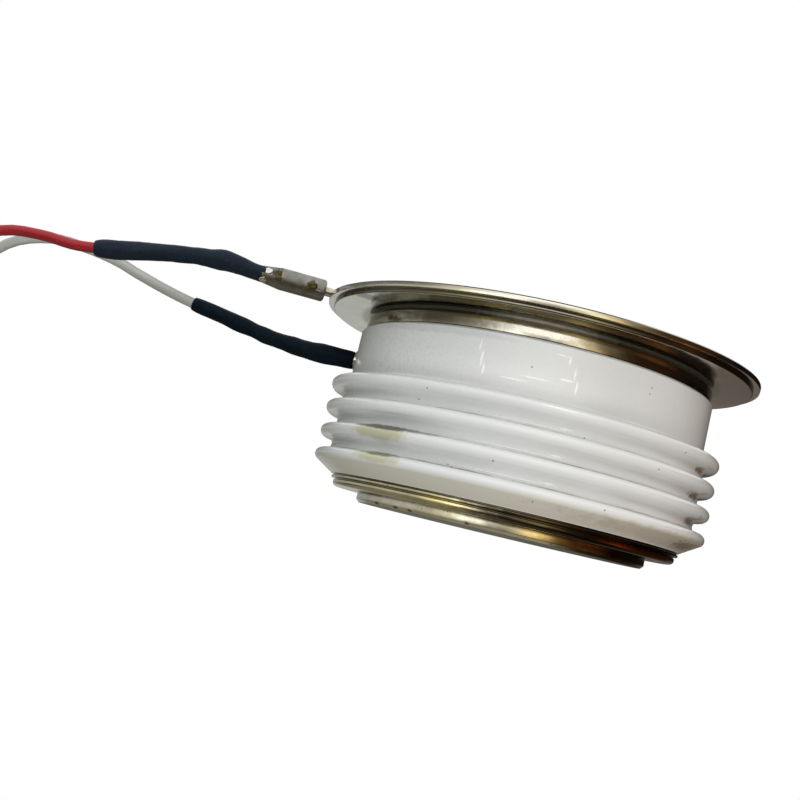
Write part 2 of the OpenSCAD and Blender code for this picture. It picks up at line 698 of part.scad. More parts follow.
// Outside of the crimp barrel: round inner end and a drawn-in outer end
module barrel_body() {
    barrel_r = barrel_d / 2;
    inner_r = barrel_r - barrel_round;
    rotate([0, 90, 0]) rotate_extrude() {
        polygon([[0, barrel_start], [inner_r, barrel_start], [inner_r, barrel_start + barrel_round],
                 [barrel_r, barrel_start + barrel_round], [barrel_r, barrel_end - barrel_draw_len],
                 [barrel_end_d / 2, barrel_end], [0, barrel_end]]);
        translate([inner_r, barrel_start + barrel_round]) circle(r = barrel_round);
    }
}

// Quarter of the barrel's end that is cut away over the solder cup, towards the front and the top
module barrel_window_cut(end_x) {
    translate([barrel_end - barrel_window, 0, 0])
        cube([end_x - barrel_end + barrel_window, barrel_d, barrel_d]);
}

// Crimp barrel: bored for the pin, with a solder cup, a window in the cup and an inspection hole
module lead_barrel() {
    color("gray")
    on_terminal()
    difference() {
        barrel_body();
        rod(barrel_start - cut, barrel_end + cut, pin_d);
        rod(barrel_end - barrel_cup_h, barrel_end + cut, barrel_cup_d);
        barrel_window_cut(barrel_end + cut);
        translate([barrel_start + barrel_hole_in, 0, 0]) rotate([-90, 0, 0])
            cylinder(h = barrel_d, d = barrel_hole_d);
    }
}

// Solder that fills the cup round the bare conductor
module barrel_solder() {
    color("lightgray")
    on_terminal()
    difference() {
        rod(barrel_end - barrel_cup_h, barrel_end - fit, barrel_cup_d);
        rod(barrel_end - core_len, barrel_end + cut, core_d);
    }
}

module red_core() {
    color("peru") on_terminal() rod(barrel_end - core_len, barrel_end, core_d);
}

// Shrink sleeve over the start of the red lead, a little thicker where the splice is
module red_sleeve() {
    fr = slice(RED_FRAMES, 0, RED_SLEEVE_LAST);
    bore = red_d / 2 + fit / 2;
    swell = [0.06, 0.03, 0, 0.2, 0.3, 0.1, 0.03, 0.03, 0.06, 0.1, 0.2, 0.2, 0.05];
    color("midnightblue")
        sleeve(fr, [for (s = swell) bore + sleeve_wall + s], [for (s = swell) bore]);
}

module red_lead() {
    color("crimson") cord(RED_FRAMES, red_d / 2);
}

module red_lead_coil() {
    color("crimson") coil(RED_COIL);
}

module red_lead_tail() {
    color("crimson") at_coil_exit(RED_COIL, red_tail_angle, red_d) rod(0, tail_len, red_d);
}

module red_lead_tip() {
    color("silver")
        at_coil_exit(RED_COIL, red_tail_angle, red_d) rod(tail_len, tail_len + tip_len, tip_d);
}

ceramic_housing();
anode_pole();
anode_flange();
weld_ring();
lid_flange();
cathode_pole();
anode_disc();
silicon_wafer();
edge_seal();
cathode_disc();
locating_ring();
gate_insulator();
gate_spring();
gate_pin();
gate_wire();
gate_wire_tube();
gate_tube();
gate_braze();
gate_solder();
gate_sleeve();
white_lead();
white_lead_coil();
white_lead_tail();
white_lead_tip();
terminal_pin();
terminal_solder();
lead_barrel();
barrel_solder();
red_core();
red_sleeve();
red_lead();
red_lead_coil();
red_lead_tail();
red_lead_tip();
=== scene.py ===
# %% [markdown]
# # A disc thyristor, dressed in Blender
# The real object is a flat round capsule. A white ceramic ring with four ribs stands between two copper poles,
# and thin nickel-plated sheets close it: a dished flange below, and a ring and a lid welded into a wide rim
# above. A red lead is crimped to the rim, and a white one runs in a shrink sleeve to a small tube in the
# ceramic. The solid model comes in as a fixed frame, and every piece made here sits exactly where it says.

# %% Load the solid model
import bpy, bmesh, math
from mathutils import Matrix, Vector, noise


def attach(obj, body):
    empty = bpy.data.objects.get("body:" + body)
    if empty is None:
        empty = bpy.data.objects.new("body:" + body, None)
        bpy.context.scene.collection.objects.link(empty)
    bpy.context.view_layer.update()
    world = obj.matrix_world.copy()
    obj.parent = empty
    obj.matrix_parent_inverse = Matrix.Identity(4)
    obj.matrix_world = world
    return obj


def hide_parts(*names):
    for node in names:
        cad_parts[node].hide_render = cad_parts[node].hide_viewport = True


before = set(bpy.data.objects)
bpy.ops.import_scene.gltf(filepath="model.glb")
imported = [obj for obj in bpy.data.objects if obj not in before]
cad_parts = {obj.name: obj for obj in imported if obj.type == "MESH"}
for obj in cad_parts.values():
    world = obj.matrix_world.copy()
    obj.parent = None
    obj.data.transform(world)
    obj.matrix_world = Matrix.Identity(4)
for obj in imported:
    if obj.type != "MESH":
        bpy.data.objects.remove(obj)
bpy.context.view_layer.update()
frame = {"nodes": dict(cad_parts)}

# %% [markdown]
# ## Camera
# The photograph was taken from a little below the lower face, close up, with the camera rolled to one side.
# The place and lens were found by matching the round edges of the rim and the ribs. The matrix is built from
# three turns: round the upright axis, then up, then the roll. The picture is 800 by 800 pixels.

# %% The camera
MM = 0.001
PICTURE, SENSOR = 800, 36
FOCAL_PIXELS = 1063.072
EYE_MM = (0.0, -143.66726, -1.55174)
YAW, PITCH, ROLL = math.radians(6.697836), math.radians(6.478523), math.radians(-13.430011)


def photo_camera():
    data = bpy.data.cameras.new("photo_camera")
    data.sensor_width = SENSOR
    data.lens = SENSOR * FOCAL_PIXELS / PICTURE
    data.clip_start, data.clip_end = 0.005, 20
    camera = bpy.data.objects.new("photo_camera", data)
    bpy.context.scene.collection.objects.link(camera)
    turn = Matrix.Rotation(YAW, 3, "Z") @ Matrix.Rotation(PITCH, 3, "X") @ Matrix.Rotation(ROLL, 3, "Y")
    look = turn @ Matrix.Rotation(math.pi / 2, 3, "X")
    camera.matrix_world = Matrix.Translation(Vector(EYE_MM) * MM) @ look.to_4x4()
    bpy.context.scene.camera = camera
    return camera


camera = photo_camera()
print("lens %.2f mm, camera at %s mm" % (camera.data.lens, EYE_MM))

# %% [markdown]
# ## Routes of the leads
# A lead is a round cord on a smooth curve. The solid model gives a few points in millimetres, and a curve
# with even bends goes through them, so the same points and the same curve are used here, only with finer
# steps. Past the edge of the photograph each lead drops to the table and is wound into a small coil.

# %% Points of both leads, in millimetres
RED_D, WHITE_D = 1.4, 1.46
RED_ROUTE = [(-37.19, -12.08, 25.6), (-41, -12.9, 26), (-44.2, -13.4, 25.85), (-47.4, -13.9, 25.45),
             (-50.2, -14.2, 25), (-54.1, -14.6, 24.25), (-58, -15, 23.7), (-61.1, -15.2, 23.5),
             (-65.3, -15.4, 23.8), (-70.5, -15.8, 23.2), (-77, -16.5, 19.6), (-83.5, -18, 13),
             (-88.5, -19.4, 7), (-93, -20.1, 4.2), (-97, -20.2, 3.7)]
WHITE_ROUTE = [(-24.3, 0, 18.8), (-28.8, 0, 18.8), (-33, -0.1, 19), (-37, -0.1, 19.45), (-41.2, -0.1, 20.35),
               (-48.4, -0.3, 21.75), (-52.8, -0.6, 22.8), (-57.2, -1, 24.1), (-60.6, -1.4, 25.2),
               (-65.2, -1.9, 26), (-70.5, -2.2, 26.2), (-76.5, -2.5, 24), (-82.5, -2.2, 17.5),
               (-86.5, -1.4, 10.4), (-89.8, -0.6, 5.4), (-93, -0.2, 3.8)]
ROUTE_STEPS = 4


def smooth_route(route, steps):
    """The solid model's own curve through its route points, end points repeated."""
    pts, out = [Vector(p) for p in route], []
    for i in range(len(pts) - 1):
        a, b, c, d = pts[max(i - 1, 0)], pts[i], pts[i + 1], pts[min(i + 2, len(pts) - 1)]
        for k in range(steps):
            t = k / steps
            out.append(0.5 * (2 * b + (c - a) * t + (2 * a - 5 * b + 4 * c - d) * t * t
                              + (3 * b - a - 3 * c + d) * t ** 3))
    return out + [pts[-1]]


def length_of(points):
    return sum((b - a).length for a, b in zip(points, points[1:]))


red_route = smooth_route(RED_ROUTE, ROUTE_STEPS)
white_route = smooth_route(WHITE_ROUTE, ROUTE_STEPS)[ROUTE_STEPS:]  # the first stretch is the gate tube
print("red route %.1f mm, white route %.1f mm" % (length_of(red_route), length_of(white_route)))

# %% [markdown]
# ## The wound part of a lead
# The lead comes in over the coil and goes round four times: outside and inside in the upper layer, then
# inside and outside in the lower one, and its end leaves along the table. Where a turn changes place, the
# turn below has already moved on, so no two turns run through each other.

# %% Path of the coil, its tail and its stripped tip
COIL_OUTER, COIL_TURNS = 9.75, 4
TAIL_LEN, TIP_LEN, TIP_D = 9, 6, 0.9
# Degrees past the leaving angle between which each turn moves to its own place
MOVES = [(20, 80), (55, 105), (30, 80), (5, 55)]
OVER_COIL, AIR, SIDE_GAP, COIL_STEP = 1.3, 0.05, 0.03, 12


def ease(x, a, b):
    t = min(max((x - a) / (b - a), 0), 1)
    return t * t * (3 - 2 * t)


def coil_points(centre, d, leave):
    """Points of a coil that starts over the ring at its front and ends where the tail leaves it."""
    outer, inner = COIL_OUTER - d / 2 - SIDE_GAP, COIL_OUTER - 1.5 * d - 2 * SIDE_GAP
    low, high = d / 2 + AIR, 1.5 * d + 2 * AIR
    places = [(outer, high), (inner, high), (inner, low), (outer, low)]
    out = []
    for step in range(COIL_STEP, COIL_TURNS * 360 + leave + 1, COIL_STEP):
        turn, deg = divmod(step, 360)
        if turn == COIL_TURNS:
            r, z = places[-1]
        else:
            k = ease(deg, leave + MOVES[turn][0], leave + MOVES[turn][1])
            coming_in = ((outer + inner) / 2, high + OVER_COIL + 0.1 * (1 - ease(deg, 0, 50)))
            r, z = (a * (1 - k) + b * k for a, b in zip(places[turn - 1] if turn else coming_in, places[turn]))
        angle = math.radians(270 - step)
        out.append(Vector((centre[0] + r * math.cos(angle), centre[1] + r * math.sin(angle), z)))
    return out


def lead_path(route, centre, d, leave):
    """The whole path of the insulation, and the end of the tip that carries straight on from it."""
    heading = math.radians(180 - leave)
    along = Vector((math.cos(heading), math.sin(heading), 0))
    side = Vector((-along.y, along.x, 0))
    reach = math.sqrt(COIL_OUTER ** 2 - (COIL_OUTER - d) ** 2) + AIR
    root = Vector((centre[0], centre[1], d / 2 + AIR)) + side * (COIL_OUTER - d / 2)
    straight = [root + along * x for x in (1.6, reach, reach + 3, reach + 6, reach + TAIL_LEN)]
    return route + coil_points(centre, d, leave) + straight, straight[-1] + along * TIP_LEN


red_path, red_tip_end = lead_path(red_route, (-97, -12), RED_D, 30)
white_path, white_tip_end = lead_path(white_route, (-93, 8.05), WHITE_D, 60)
print("with their tips: red lead %.1f mm, white lead %.1f mm"
      % (length_of(red_path) + TIP_LEN, length_of(white_path) + TIP_LEN))

# %% [markdown]
# ## Round tubes along a path
# Insulation and shrink sleeve are round tubes. A frame that turns as little as possible from point to point
# carries a ring of vertices, which gives clean quads without twist. Each ring may have its own radius, which
# gives the sleeves their swells. A UV map holds the distance along the tube and the way round it.

# %% A tube with its own radius at every point
LEAD_SIDES, SLEEVE_SIDES = 20, 28


def frames_along(points):
    """One (point, side, up) per point, each turned as little as possible from the one before."""
    out, side = [], Vector((0, 0, 1))
    for i, p in enumerate(points):
        heading = (points[min(i + 1, len(points) - 1)] - points[max(i - 1, 0)]).normalized()
        side = (side - side.dot(heading) * heading).normalized()
        out.append((p, side, heading.cross(side)))
    return out


def tube_rings(points, radii, sides, wobble=None):
    rings = []
    for i, (p, side, up) in enumerate(frames_along(points)):
        ring = []
        for k in range(sides):
            a = 2 * math.pi * k / sides
            r = radii[i] + (wobble(i, a) if wobble else 0)
            ring.append(p + r * (math.cos(a) * side + math.sin(a) * up))
        rings.append(ring)
    return rings


def mesh_from_rings(name, rings, loop=False):
    """A closed skin over rings of points in millimetres, with the UV map 'Along'. A loop joins its own ends."""
    sides, bm = len(rings[0]), bmesh.new()
    uv = bm.loops.layers.uv.new("Along")
    verts = [[bm.verts.new(p * MM) for p in ring] for ring in rings]
    run = [0.0]
    for a, b in zip(rings, rings[1:]):
        run.append(run[-1] + (sum(b, Vector()) / sides - sum(a, Vector()) / sides).length)
    pairs = list(zip(range(len(rings) - 1), range(1, len(rings)))) + ([(len(rings) - 1, 0)] if loop else [])
    for i, j in pairs:
        for k in range(sides):
            m = (k + 1) % sides
            face = bm.faces.new((verts[i][k], verts[i][m], verts[j][m], verts[j][k]))
            for corner, (u, v) in zip(face.loops, ((run[i], k), (run[i], k + 1), (run[j], k + 1), (run[j], k))):
                corner[uv].uv = (u * MM, v / sides)
    if not loop:
        bm.faces.new(verts[0][::-1])
        bm.faces.new(verts[-1])
    return plain_mesh(name, bm)


def plain_mesh(name, bm, outwards=True):
    """Turns all faces outwards and keeps the result as a mesh."""
    if outwards:
        bmesh.ops.recalc_face_normals(bm, faces=bm.faces)
    mesh = bpy.data.meshes.new(name)
    bm.to_mesh(mesh)
    bm.free()
    return mesh


def piece_from_mesh(name, mesh, sharp=35):
    piece = bpy.data.objects.new(name, mesh)
    bpy.context.scene.collection.objects.link(piece)
    mesh.shade_smooth()
    mesh.set_sharp_from_angle(angle=math.radians(sharp))
    return piece


print("tube helpers ready")

# %% [markdown]
# ## The two leads as cords
# The leads are made first, because they decide how much room the model takes. Both are about 30 cm long, as
# on such devices: the photograph shows the first few centimetres. Their bare ends are stripped and tinned.

# %% Insulation of both leads
def make_lead(name, path, d):
    return piece_from_mesh(name, mesh_from_rings(name, tube_rings(path, [d / 2] * len(path), LEAD_SIDES)))


red_insulation = make_lead("red_lead_insulation", red_path, RED_D)
white_insulation = make_lead("white_lead_insulation", white_path, WHITE_D)
print("insulation:", len(red_insulation.data.polygons), "and", len(white_insulation.data.polygons), "faces")

# %% [markdown]
# ## Short calls for nodes
# Geometry trees, materials and the surroundings are all built from nodes. A bench holds one tree, with short
# calls that lay a node down, wire it and give back its output, so that a tree reads like a few sums.

# %% The bench
VECTOR, VALUE, COUNT = "NodeSocketVector", "NodeSocketFloat", "NodeSocketInt"
GEOMETRY, PAINT = "NodeSocketGeometry", "NodeSocketMaterial"


class Bench:
    def __init__(self, tree):
        self.tree = tree

    def feed(self, socket, value):
        if isinstance(value, bpy.types.NodeSocket):
            self.tree.links.new(value, socket)
        elif socket.type == "RGBA":
            socket.default_value = tuple(value)[:3] + (1.0,)
        else:
            socket.default_value = value

    def put(self, kind, settings=None, inputs=None, out=0):
        """Lays a node down and gives back one output, or the node itself where out is None."""
        node = self.tree.nodes.new(kind)
        for key, value in (settings or {}).items():
            setattr(node, key, value)
        for key, value in (inputs or {}).items():
            self.feed(node.inputs[key], value)
        return node if out is None or not node.outputs else node.outputs[out]

    def maths(self, operation, *values, clamp=False):
        return self.put("ShaderNodeMath", {"operation": operation, "use_clamp": clamp}, dict(enumerate(values)))

    def times(self, first, *more):
        for value in more:
            first = self.maths("MULTIPLY", first, value)
        return first

    def vectors(self, operation, inputs):
        return self.put("ShaderNodeVectorMath", {"operation": operation}, inputs)

    def parts(self, vector):
        return self.put("ShaderNodeSeparateXYZ", inputs={0: vector}, out=None).outputs

    def mix(self, factor, a, b):
        return self.put("ShaderNodeMix", {"data_type": "RGBA"}, {0: factor, 6: a, 7: b}, out=2)

    def blend(self, factor, a, b):
        return self.put("ShaderNodeMix", {"data_type": "FLOAT"}, {0: factor, 2: a, 3: b})

    def step(self, value, low, high, to_low=0.0, to_high=1.0):
        """A soft step: to_low up to low, to_high from high on."""
        return self.put("ShaderNodeMapRange", {"interpolation_type": "SMOOTHSTEP"},
                        {0: value, 1: low, 2: high, 3: to_low, 4: to_high})

    def ramp(self, value, stops):
        node = self.put("ShaderNodeValToRGB", inputs={0: value}, out=None)
        line = node.color_ramp.elements
        while len(line) < len(stops):
            line.new(0.5)
        for element, (where, colour) in zip(line, stops):
            element.position = where
        for element, (where, colour) in zip(line, stops):
            element.color = tuple(colour) + (1.0,)
        return node.outputs[0]

    def noise(self, place, scale, detail=2.0, rough=0.5, warp=0.0):
        return self.put("ShaderNodeTexNoise", inputs={"Vector": place, "Scale": scale, "Detail": detail,
                                                      "Roughness": rough, "Distortion": warp})

    def round_the_axis(self, x, y):
        """Radians round the upright axis from straight towards the camera, right positive."""
        return self.maths("ARCTAN2", x, self.times(y, -1.0))

    def from_the_axis(self, x, y):
        return self.maths("SQRT", self.maths("ADD", self.times(x, x), self.times(y, y)))


def new_group(name, inputs, outputs, kind="ShaderNodeTree", gives=VALUE):
    """A tree with named sockets. Gives back the tree, its bench, what it is given and what it puts out."""
    tree = bpy.data.node_groups.new(name, kind)
    for label, socket, value in inputs:
        item = tree.interface.new_socket(label, in_out="INPUT", socket_type=socket)
        if value is not None:
            item.default_value = value
    for label in outputs:
        tree.interface.new_socket(label, in_out="OUTPUT", socket_type=gives)
    given, out = tree.nodes.new("NodeGroupInput"), tree.nodes.new("NodeGroupOutput")
    return tree, Bench(tree), given.outputs, out.inputs


print("bench ready")

# %% [markdown]
# ## Growing a mesh from a tree
# What repeats or follows a rule is grown by Geometry Nodes from a simple line. The result is kept as a plain
# mesh, so no modifier is left on the piece, and its doubles are merged before its faces are turned outwards.

# %% Run a tree on a line
def geometry_tree(name, inputs):
    return new_group(name, [("Geometry", GEOMETRY, None)] + inputs + [("Finish", PAINT, None)], ["Geometry"],
                     "GeometryNodeTree", GEOMETRY)


def paint_and_end(b, shape, given, out):
    """The end of every tree: real geometry with its finish on it."""
    real = b.put("GeometryNodeRealizeInstances", inputs={0: shape})
    b.feed(out["Geometry"], b.put("GeometryNodeSetMaterial", inputs={"Geometry": real, "Material": given["Finish"]}))


def line_mesh(name, points, closed=False):
    mesh = bpy.data.meshes.new(name)
    last = [(len(points) - 1, 0)] if closed else []
    mesh.from_pydata([tuple(p) for p in points], [(i, i + 1) for i in range(len(points) - 1)] + last, [])
    return mesh


def grow(name, source, tree, values, sharp=35):
    carrier = bpy.data.objects.new(name + "_source", source)
    bpy.context.scene.collection.objects.link(carrier)
    modifier = carrier.modifiers.new("grow", "NODES")
    modifier.node_group = tree
    keys = {item.name: item.identifier for item in tree.interface.items_tree if item.in_out == "INPUT"}
    for label, value in values.items():
        modifier[keys[label]] = value
    carrier.update_tag()
    seen = carrier.evaluated_get(bpy.context.evaluated_depsgraph_get())
    mesh = bpy.data.meshes.new_from_object(seen)
    mesh.name = name
    bpy.data.objects.remove(carrier)
    bm = bmesh.new()
    bm.from_mesh(mesh)
    bmesh.ops.remove_doubles(bm, verts=bm.verts, dist=1e-7)
    bmesh.ops.recalc_face_normals(bm, faces=bm.faces)
    bm.to_mesh(mesh)
    bm.free()
    return piece_from_mesh(name, mesh, sharp)


print("growing ready")

# %% [markdown]
# ## Stripped tips
# Each bare end is seven thin tinned strands, six twisted round one. The tree copies one straight line six
# times, turns each copy into a helix round the first and gives all seven a round section.

# %% Twisted strands
STRANDS, STRAND_R, STRAND_TURNS = 6, TIP_D / 6 * 0.98, 1.3


def strands_tree():
    tree, b, given, out = geometry_tree("Twisted Strands", [
        ("Strands", COUNT, 6), ("Strand Radius", VALUE, 0.00015), ("Turns", VALUE, 1.0)])
    line = b.put("GeometryNodeMeshToCurve", inputs={0: given["Geometry"]})
    copies = b.put("GeometryNodeDuplicateElements", {"domain": "SPLINE"},
                   {"Geometry": line, "Amount": given["Strands"]}, out=None).outputs
    share = b.maths("DIVIDE", copies["Duplicate Index"], given["Strands"])
    along = b.put("GeometryNodeSplineParameter", out="Factor")
    angle = b.times(b.maths("MULTIPLY_ADD", along, given["Turns"], share), 2 * math.pi)
    normal = b.put("GeometryNodeInputNormal")
    across = b.vectors("CROSS_PRODUCT", {0: b.put("GeometryNodeInputTangent"), 1: normal})
    swing = [b.vectors("SCALE", {0: way, "Scale": b.times(b.maths(wave, angle), given["Strand Radius"])})
             for wave, way in (("COSINE", normal), ("SINE", across))]
    offset = b.vectors("SCALE", {0: b.vectors("ADD", dict(enumerate(swing))), "Scale": 2})
    moved = b.put("GeometryNodeSetPosition", inputs={"Geometry": copies["Geometry"], "Offset": offset})
    both = b.put("GeometryNodeJoinGeometry", inputs={0: moved}, out=None)
    b.feed(both.inputs[0], line)
    section = b.put("GeometryNodeCurvePrimitiveCircle", inputs={"Resolution": 12, "Radius": given["Strand Radius"]})
    skin = b.put("GeometryNodeCurveToMesh", inputs={0: both.outputs[0], 1: section, "Fill Caps": True})
    paint_and_end(b, skin, given, out)
    return tree


def stripped_tip(name, start, end, finish):
    points = [start.lerp(end, i / 24) * MM for i in range(25)]
    return grow(name, line_mesh(name + "_line", points), TWISTED,
                {"Strands": STRANDS, "Strand Radius": STRAND_R * MM, "Turns": STRAND_TURNS, "Finish": finish})


TWISTED = strands_tree()
tinned = bpy.data.materials.new("tinned_strands_finish")
red_tip = stripped_tip("red_lead_strands", red_path[-1], red_tip_end, tinned)
white_tip = stripped_tip("white_lead_strands", white_path[-1], white_tip_end, tinned)
print("strands:", len(red_tip.data.polygons), "faces a tip")

# %% [markdown]
# ## Shrink sleeves
# The blue-black sleeves shrink on unevenly: they swell over the splice, pull in beyond it, and their ends are
# cut and slightly drawn in. The tubes are hollow, so each path runs out along the outside and back inside.

# %% The two sleeves
RED_SWELL = [0.06, 0.03, 0, 0.2, 0.3, 0.1, 0.03, 0.03, 0.06, 0.1, 0.2, 0.2, 0.05]
RED_BODY, RED_BORE = 1.05, 0.75
GATE_RADII = [1.28, 1.27, 1.38, 1.27, 1.22, 1.06, 1.12, 1.06, 1.14, 1.06, 1.08]
GATE_BORES = [0.97] * 4 + [0.78] * 7  # on the tube, then on the lead
ON_BARREL = (-36.6, -11.89, 25.6)
DRAWN_IN = (0.14, 0.05, 0.015)


def spread(values, count):
    """Eases a short list of values over many points."""
    out = []
    for i in range(count):
        x = i / (count - 1) * (len(values) - 1)
        j = min(int(x), len(values) - 2)
        out.append(values[j] + (values[j + 1] - values[j]) * ease(x - j, 0, 1))
    return out


def make_sleeve(name, route, outer, inner, seed, crumpled):
    """Closed skin: the outside from end to end, a rounded lip at both ends, and the bore back again."""
    points = smooth_route(route, 10)
    count = len(points)
    out_r, in_r = spread(outer, count), spread(inner, count)
    for end, less in enumerate(DRAWN_IN):
        out_r[end] -= less
        out_r[count - 1 - end] -= less

    def crumple(i, a):
        coarse = Vector((points[i].x * 0.42, math.cos(a) * 0.75 + seed, math.sin(a) * 0.75))
        fine = Vector((points[i].x * 1.3, math.cos(a) * 1.6 + seed, math.sin(a) * 1.6))
        edge = min(i, count - 1 - i, 4) / 4
        return crumpled * edge * (noise.noise(coarse) + 0.35 * noise.noise(fine))

    shell = tube_rings(points, out_r, SLEEVE_SIDES, crumple)
    bore = tube_rings(points, in_r, SLEEVE_SIDES)[::-1]
    return piece_from_mesh(name, mesh_from_rings(name, shell + bore, loop=True), 50)


red_sleeve = make_sleeve("red_lead_sleeve", [ON_BARREL] + RED_ROUTE[:7], [RED_BODY + s for s in RED_SWELL],
                         [RED_BORE] * len(RED_SWELL), 3.0, 0.12)
gate_sleeve = make_sleeve("gate_lead_sleeve", WHITE_ROUTE[:6], GATE_RADII, GATE_BORES, 8.0, 0.1)
print("sleeves:", len(red_sleeve.data.polygons) + len(gate_sleeve.data.polygons), "faces")

# %% [markdown]
# ## Attaching the pieces
# Each piece rides on the capsule's one body and stands for its solids, whose own meshes are hidden. Leads as
# small as these keep the shape they are bent to.

def settle(piece, slot, *nodes):
    """A piece rides on the body and stands for its solids; its slot is not used."""
    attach(piece, "root")
    if nodes:
        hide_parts(*nodes)
    return piece


for colour, insulation, tip in (("red", red_insulation, red_tip), ("white", white_insulation, white_tip)):
    lead = colour + "_lead"
    settle(insulation, colour + "_insulation", lead, lead + "_coil", lead + "_tail")
    settle(tip, "tinned_strands", lead + "_tip")
settle(red_sleeve, "shrink_sleeve", "red_sleeve")
settle(gate_sleeve, "shrink_sleeve", "gate_sleeve")

nodes = frame["nodes"]
print("leads attached")

# %% [markdown]
# ## Light and surroundings
# The photograph has a pure white ground, and the metal mirrors a room: a bright window towards the camera's
# left, warm gold and brown tones, and darkness on the right. The world is white to the camera alone. Mirrored
# rays meet a room that is painted by direction, and all other rays a dim dome. A turned piece mirrors a narrow
# band of the room all the way round, so the room is three bands of colour by azimuth, one above another.

# %% Colours of the room
def by_azimuth(stops):
    """Stops given by degrees from straight towards the camera, right positive, as places on a ramp."""
    return [((degrees + 180) / 360, colour) for degrees, colour in stops]


BELOW_BAND = by_azimuth([
    (-180, (0.46, 0.47, 0.44)), (-163, (0.46, 0.48, 0.45)), (-148, (0.16, 0.16, 0.13)),
    (-120, (0.07, 0.065, 0.045)), (-90, (0.24, 0.235, 0.20)), (-62, (0.26, 0.25, 0.17)),
    (-46, (0.32, 0.28, 0.12)), (-34, (0.42, 0.36, 0.14)), (-22, (0.16, 0.12, 0.05)), (-8, (0.10, 0.07, 0.035)),
    (8, (0.16, 0.12, 0.06)), (24, (0.42, 0.32, 0.12)), (38, (0.20, 0.12, 0.04)), (58, (0.10, 0.05, 0.02)),
    (78, (0.24, 0.09, 0.02)), (96, (0.02, 0.012, 0.008)), (140, (0.015, 0.01, 0.008)),
    (158, (0.10, 0.08, 0.065)), (172, (0.17, 0.145, 0.125)), (180, (0.40, 0.40, 0.37))])
LOW_BAND = by_azimuth([
    (-180, (0.30, 0.30, 0.27)), (-130, (0.36, 0.36, 0.32)), (-85, (0.58, 0.57, 0.50)),
    (-62, (0.62, 0.60, 0.50)), (-45, (0.95, 0.90, 0.70)), (-33, (1.7, 1.68, 1.5)), (-16, (1.7, 1.66, 1.45)),
    (-6, (0.55, 0.50, 0.38)), (6, (0.32, 0.29, 0.22)), (14, (0.80, 0.72, 0.50)), (26, (1.6, 1.36, 0.78)),
    (34, (0.9, 0.68, 0.32)), (46, (0.20, 0.13, 0.04)), (62, (0.06, 0.03, 0.01)), (78, (0.10, 0.03, 0.005)),
    (95, (0.012, 0.006, 0.003)), (180, (0.02, 0.015, 0.01))])
HIGH_BAND = by_azimuth([
    (-180, (0.12, 0.12, 0.10)), (-150, (0.14, 0.14, 0.11)), (-122, (0.15, 0.15, 0.12)),
    (-98, (0.16, 0.16, 0.13)), (-64, (0.225, 0.215, 0.17)), (-40, (0.75, 0.72, 0.64)), (-14, (1.4, 1.38, 1.3)),
    (14, (1.4, 1.36, 1.22)), (27, (0.92, 0.84, 0.62)), (38, (0.33, 0.285, 0.185)), (58, (0.05, 0.03, 0.013)),
    (80, (0.03, 0.014, 0.007)), (110, (0.006, 0.005, 0.003)), (150, (0.006, 0.005, 0.003)),
    (180, (0.12, 0.12, 0.10))])
UPPER_ROOM = [(0.2, (0.95, 0.95, 0.93)), (0.45, (1.1, 1.1, 1.1)), (1.0, (1.1, 1.1, 1.1))]
TABLE_LEFT, TABLE_RIGHT, UNDER_FOOT = (0.24, 0.225, 0.16), (0.03, 0.02, 0.012), (0.30, 0.275, 0.21)
DOME_LEFT, DOME_RIGHT = (0.225, 0.24, 0.23), (0.25, 0.23, 0.21)
WHITE = (1.0, 1.0, 1.0)
print("stops:", len(BELOW_BAND), len(LOW_BAND), len(HIGH_BAND))

# %% Paint the room
def paint_room():
    world = bpy.data.worlds.new("studio")
    bpy.context.scene.world = world
    world.use_nodes = True
    world.node_tree.nodes.clear()
    b = Bench(world.node_tree)
    way = b.put("ShaderNodeTexCoord", out="Generated")
    x, y, z = b.parts(way)
    turn = b.maths("MULTIPLY_ADD", b.round_the_axis(x, y), 0.5 / math.pi, 0.5)
    rise = b.times(b.maths("ARCSINE", z), 180 / math.pi)
    # The bands have ragged edges, as the things in a real room have
    wander = b.maths("ADD", turn, b.maths("MULTIPLY_ADD", b.noise(way, 9.0, 4.0, 0.6), 0.05, -0.025))
    lift = b.maths("ADD", rise, b.maths("MULTIPLY_ADD", b.noise(way, 7.0, 3.0, 0.6), 5.0, -2.5))
    below, low, high = (b.ramp(wander, band) for band in (BELOW_BAND, LOW_BAND, HIGH_BAND))
    room = b.mix(b.step(lift, -2.5, -0.5), below, low)
    room = b.mix(b.step(lift, 4.0, 7.0), room, high)
    room = b.mix(b.step(lift, 17.0, 26.0), room, b.ramp(b.maths("DIVIDE", rise, 90.0), UPPER_ROOM))
    table = b.mix(b.step(x, -0.6, 0.6), TABLE_LEFT, TABLE_RIGHT)
    table = b.mix(b.step(lift, -56.0, -72.0), table, UNDER_FOOT)
    room = b.mix(b.step(lift, -14.0, -26.0), room, table)
    dome = b.mix(b.step(x, -0.9, 0.9), DOME_LEFT, DOME_RIGHT)
    mirrored, dull, plain = (b.put("ShaderNodeBackground", inputs={0: tint, 1: 1.0}) for tint in (room, dome, WHITE))
    path = b.put("ShaderNodeLightPath", out=None).outputs
    light = b.put("ShaderNodeMixShader", inputs={0: path["Is Glossy Ray"], 1: dull, 2: mirrored})
    seen = b.put("ShaderNodeMixShader", inputs={0: path["Is Camera Ray"], 1: light, 2: plain})
    b.put("ShaderNodeOutputWorld", inputs={0: seen})


paint_room()
bpy.context.scene.view_settings.view_transform = "Standard"
print("room painted")

# %% [markdown]
# ## Lamps
# Soft area lamps stand for the studio. One overhead and one in front light the ceramic evenly, one below
# brings up the undersides of the ribs, and a weak warm one warms the right side. None of them shows in the
# metal, which mirrors the painted room.

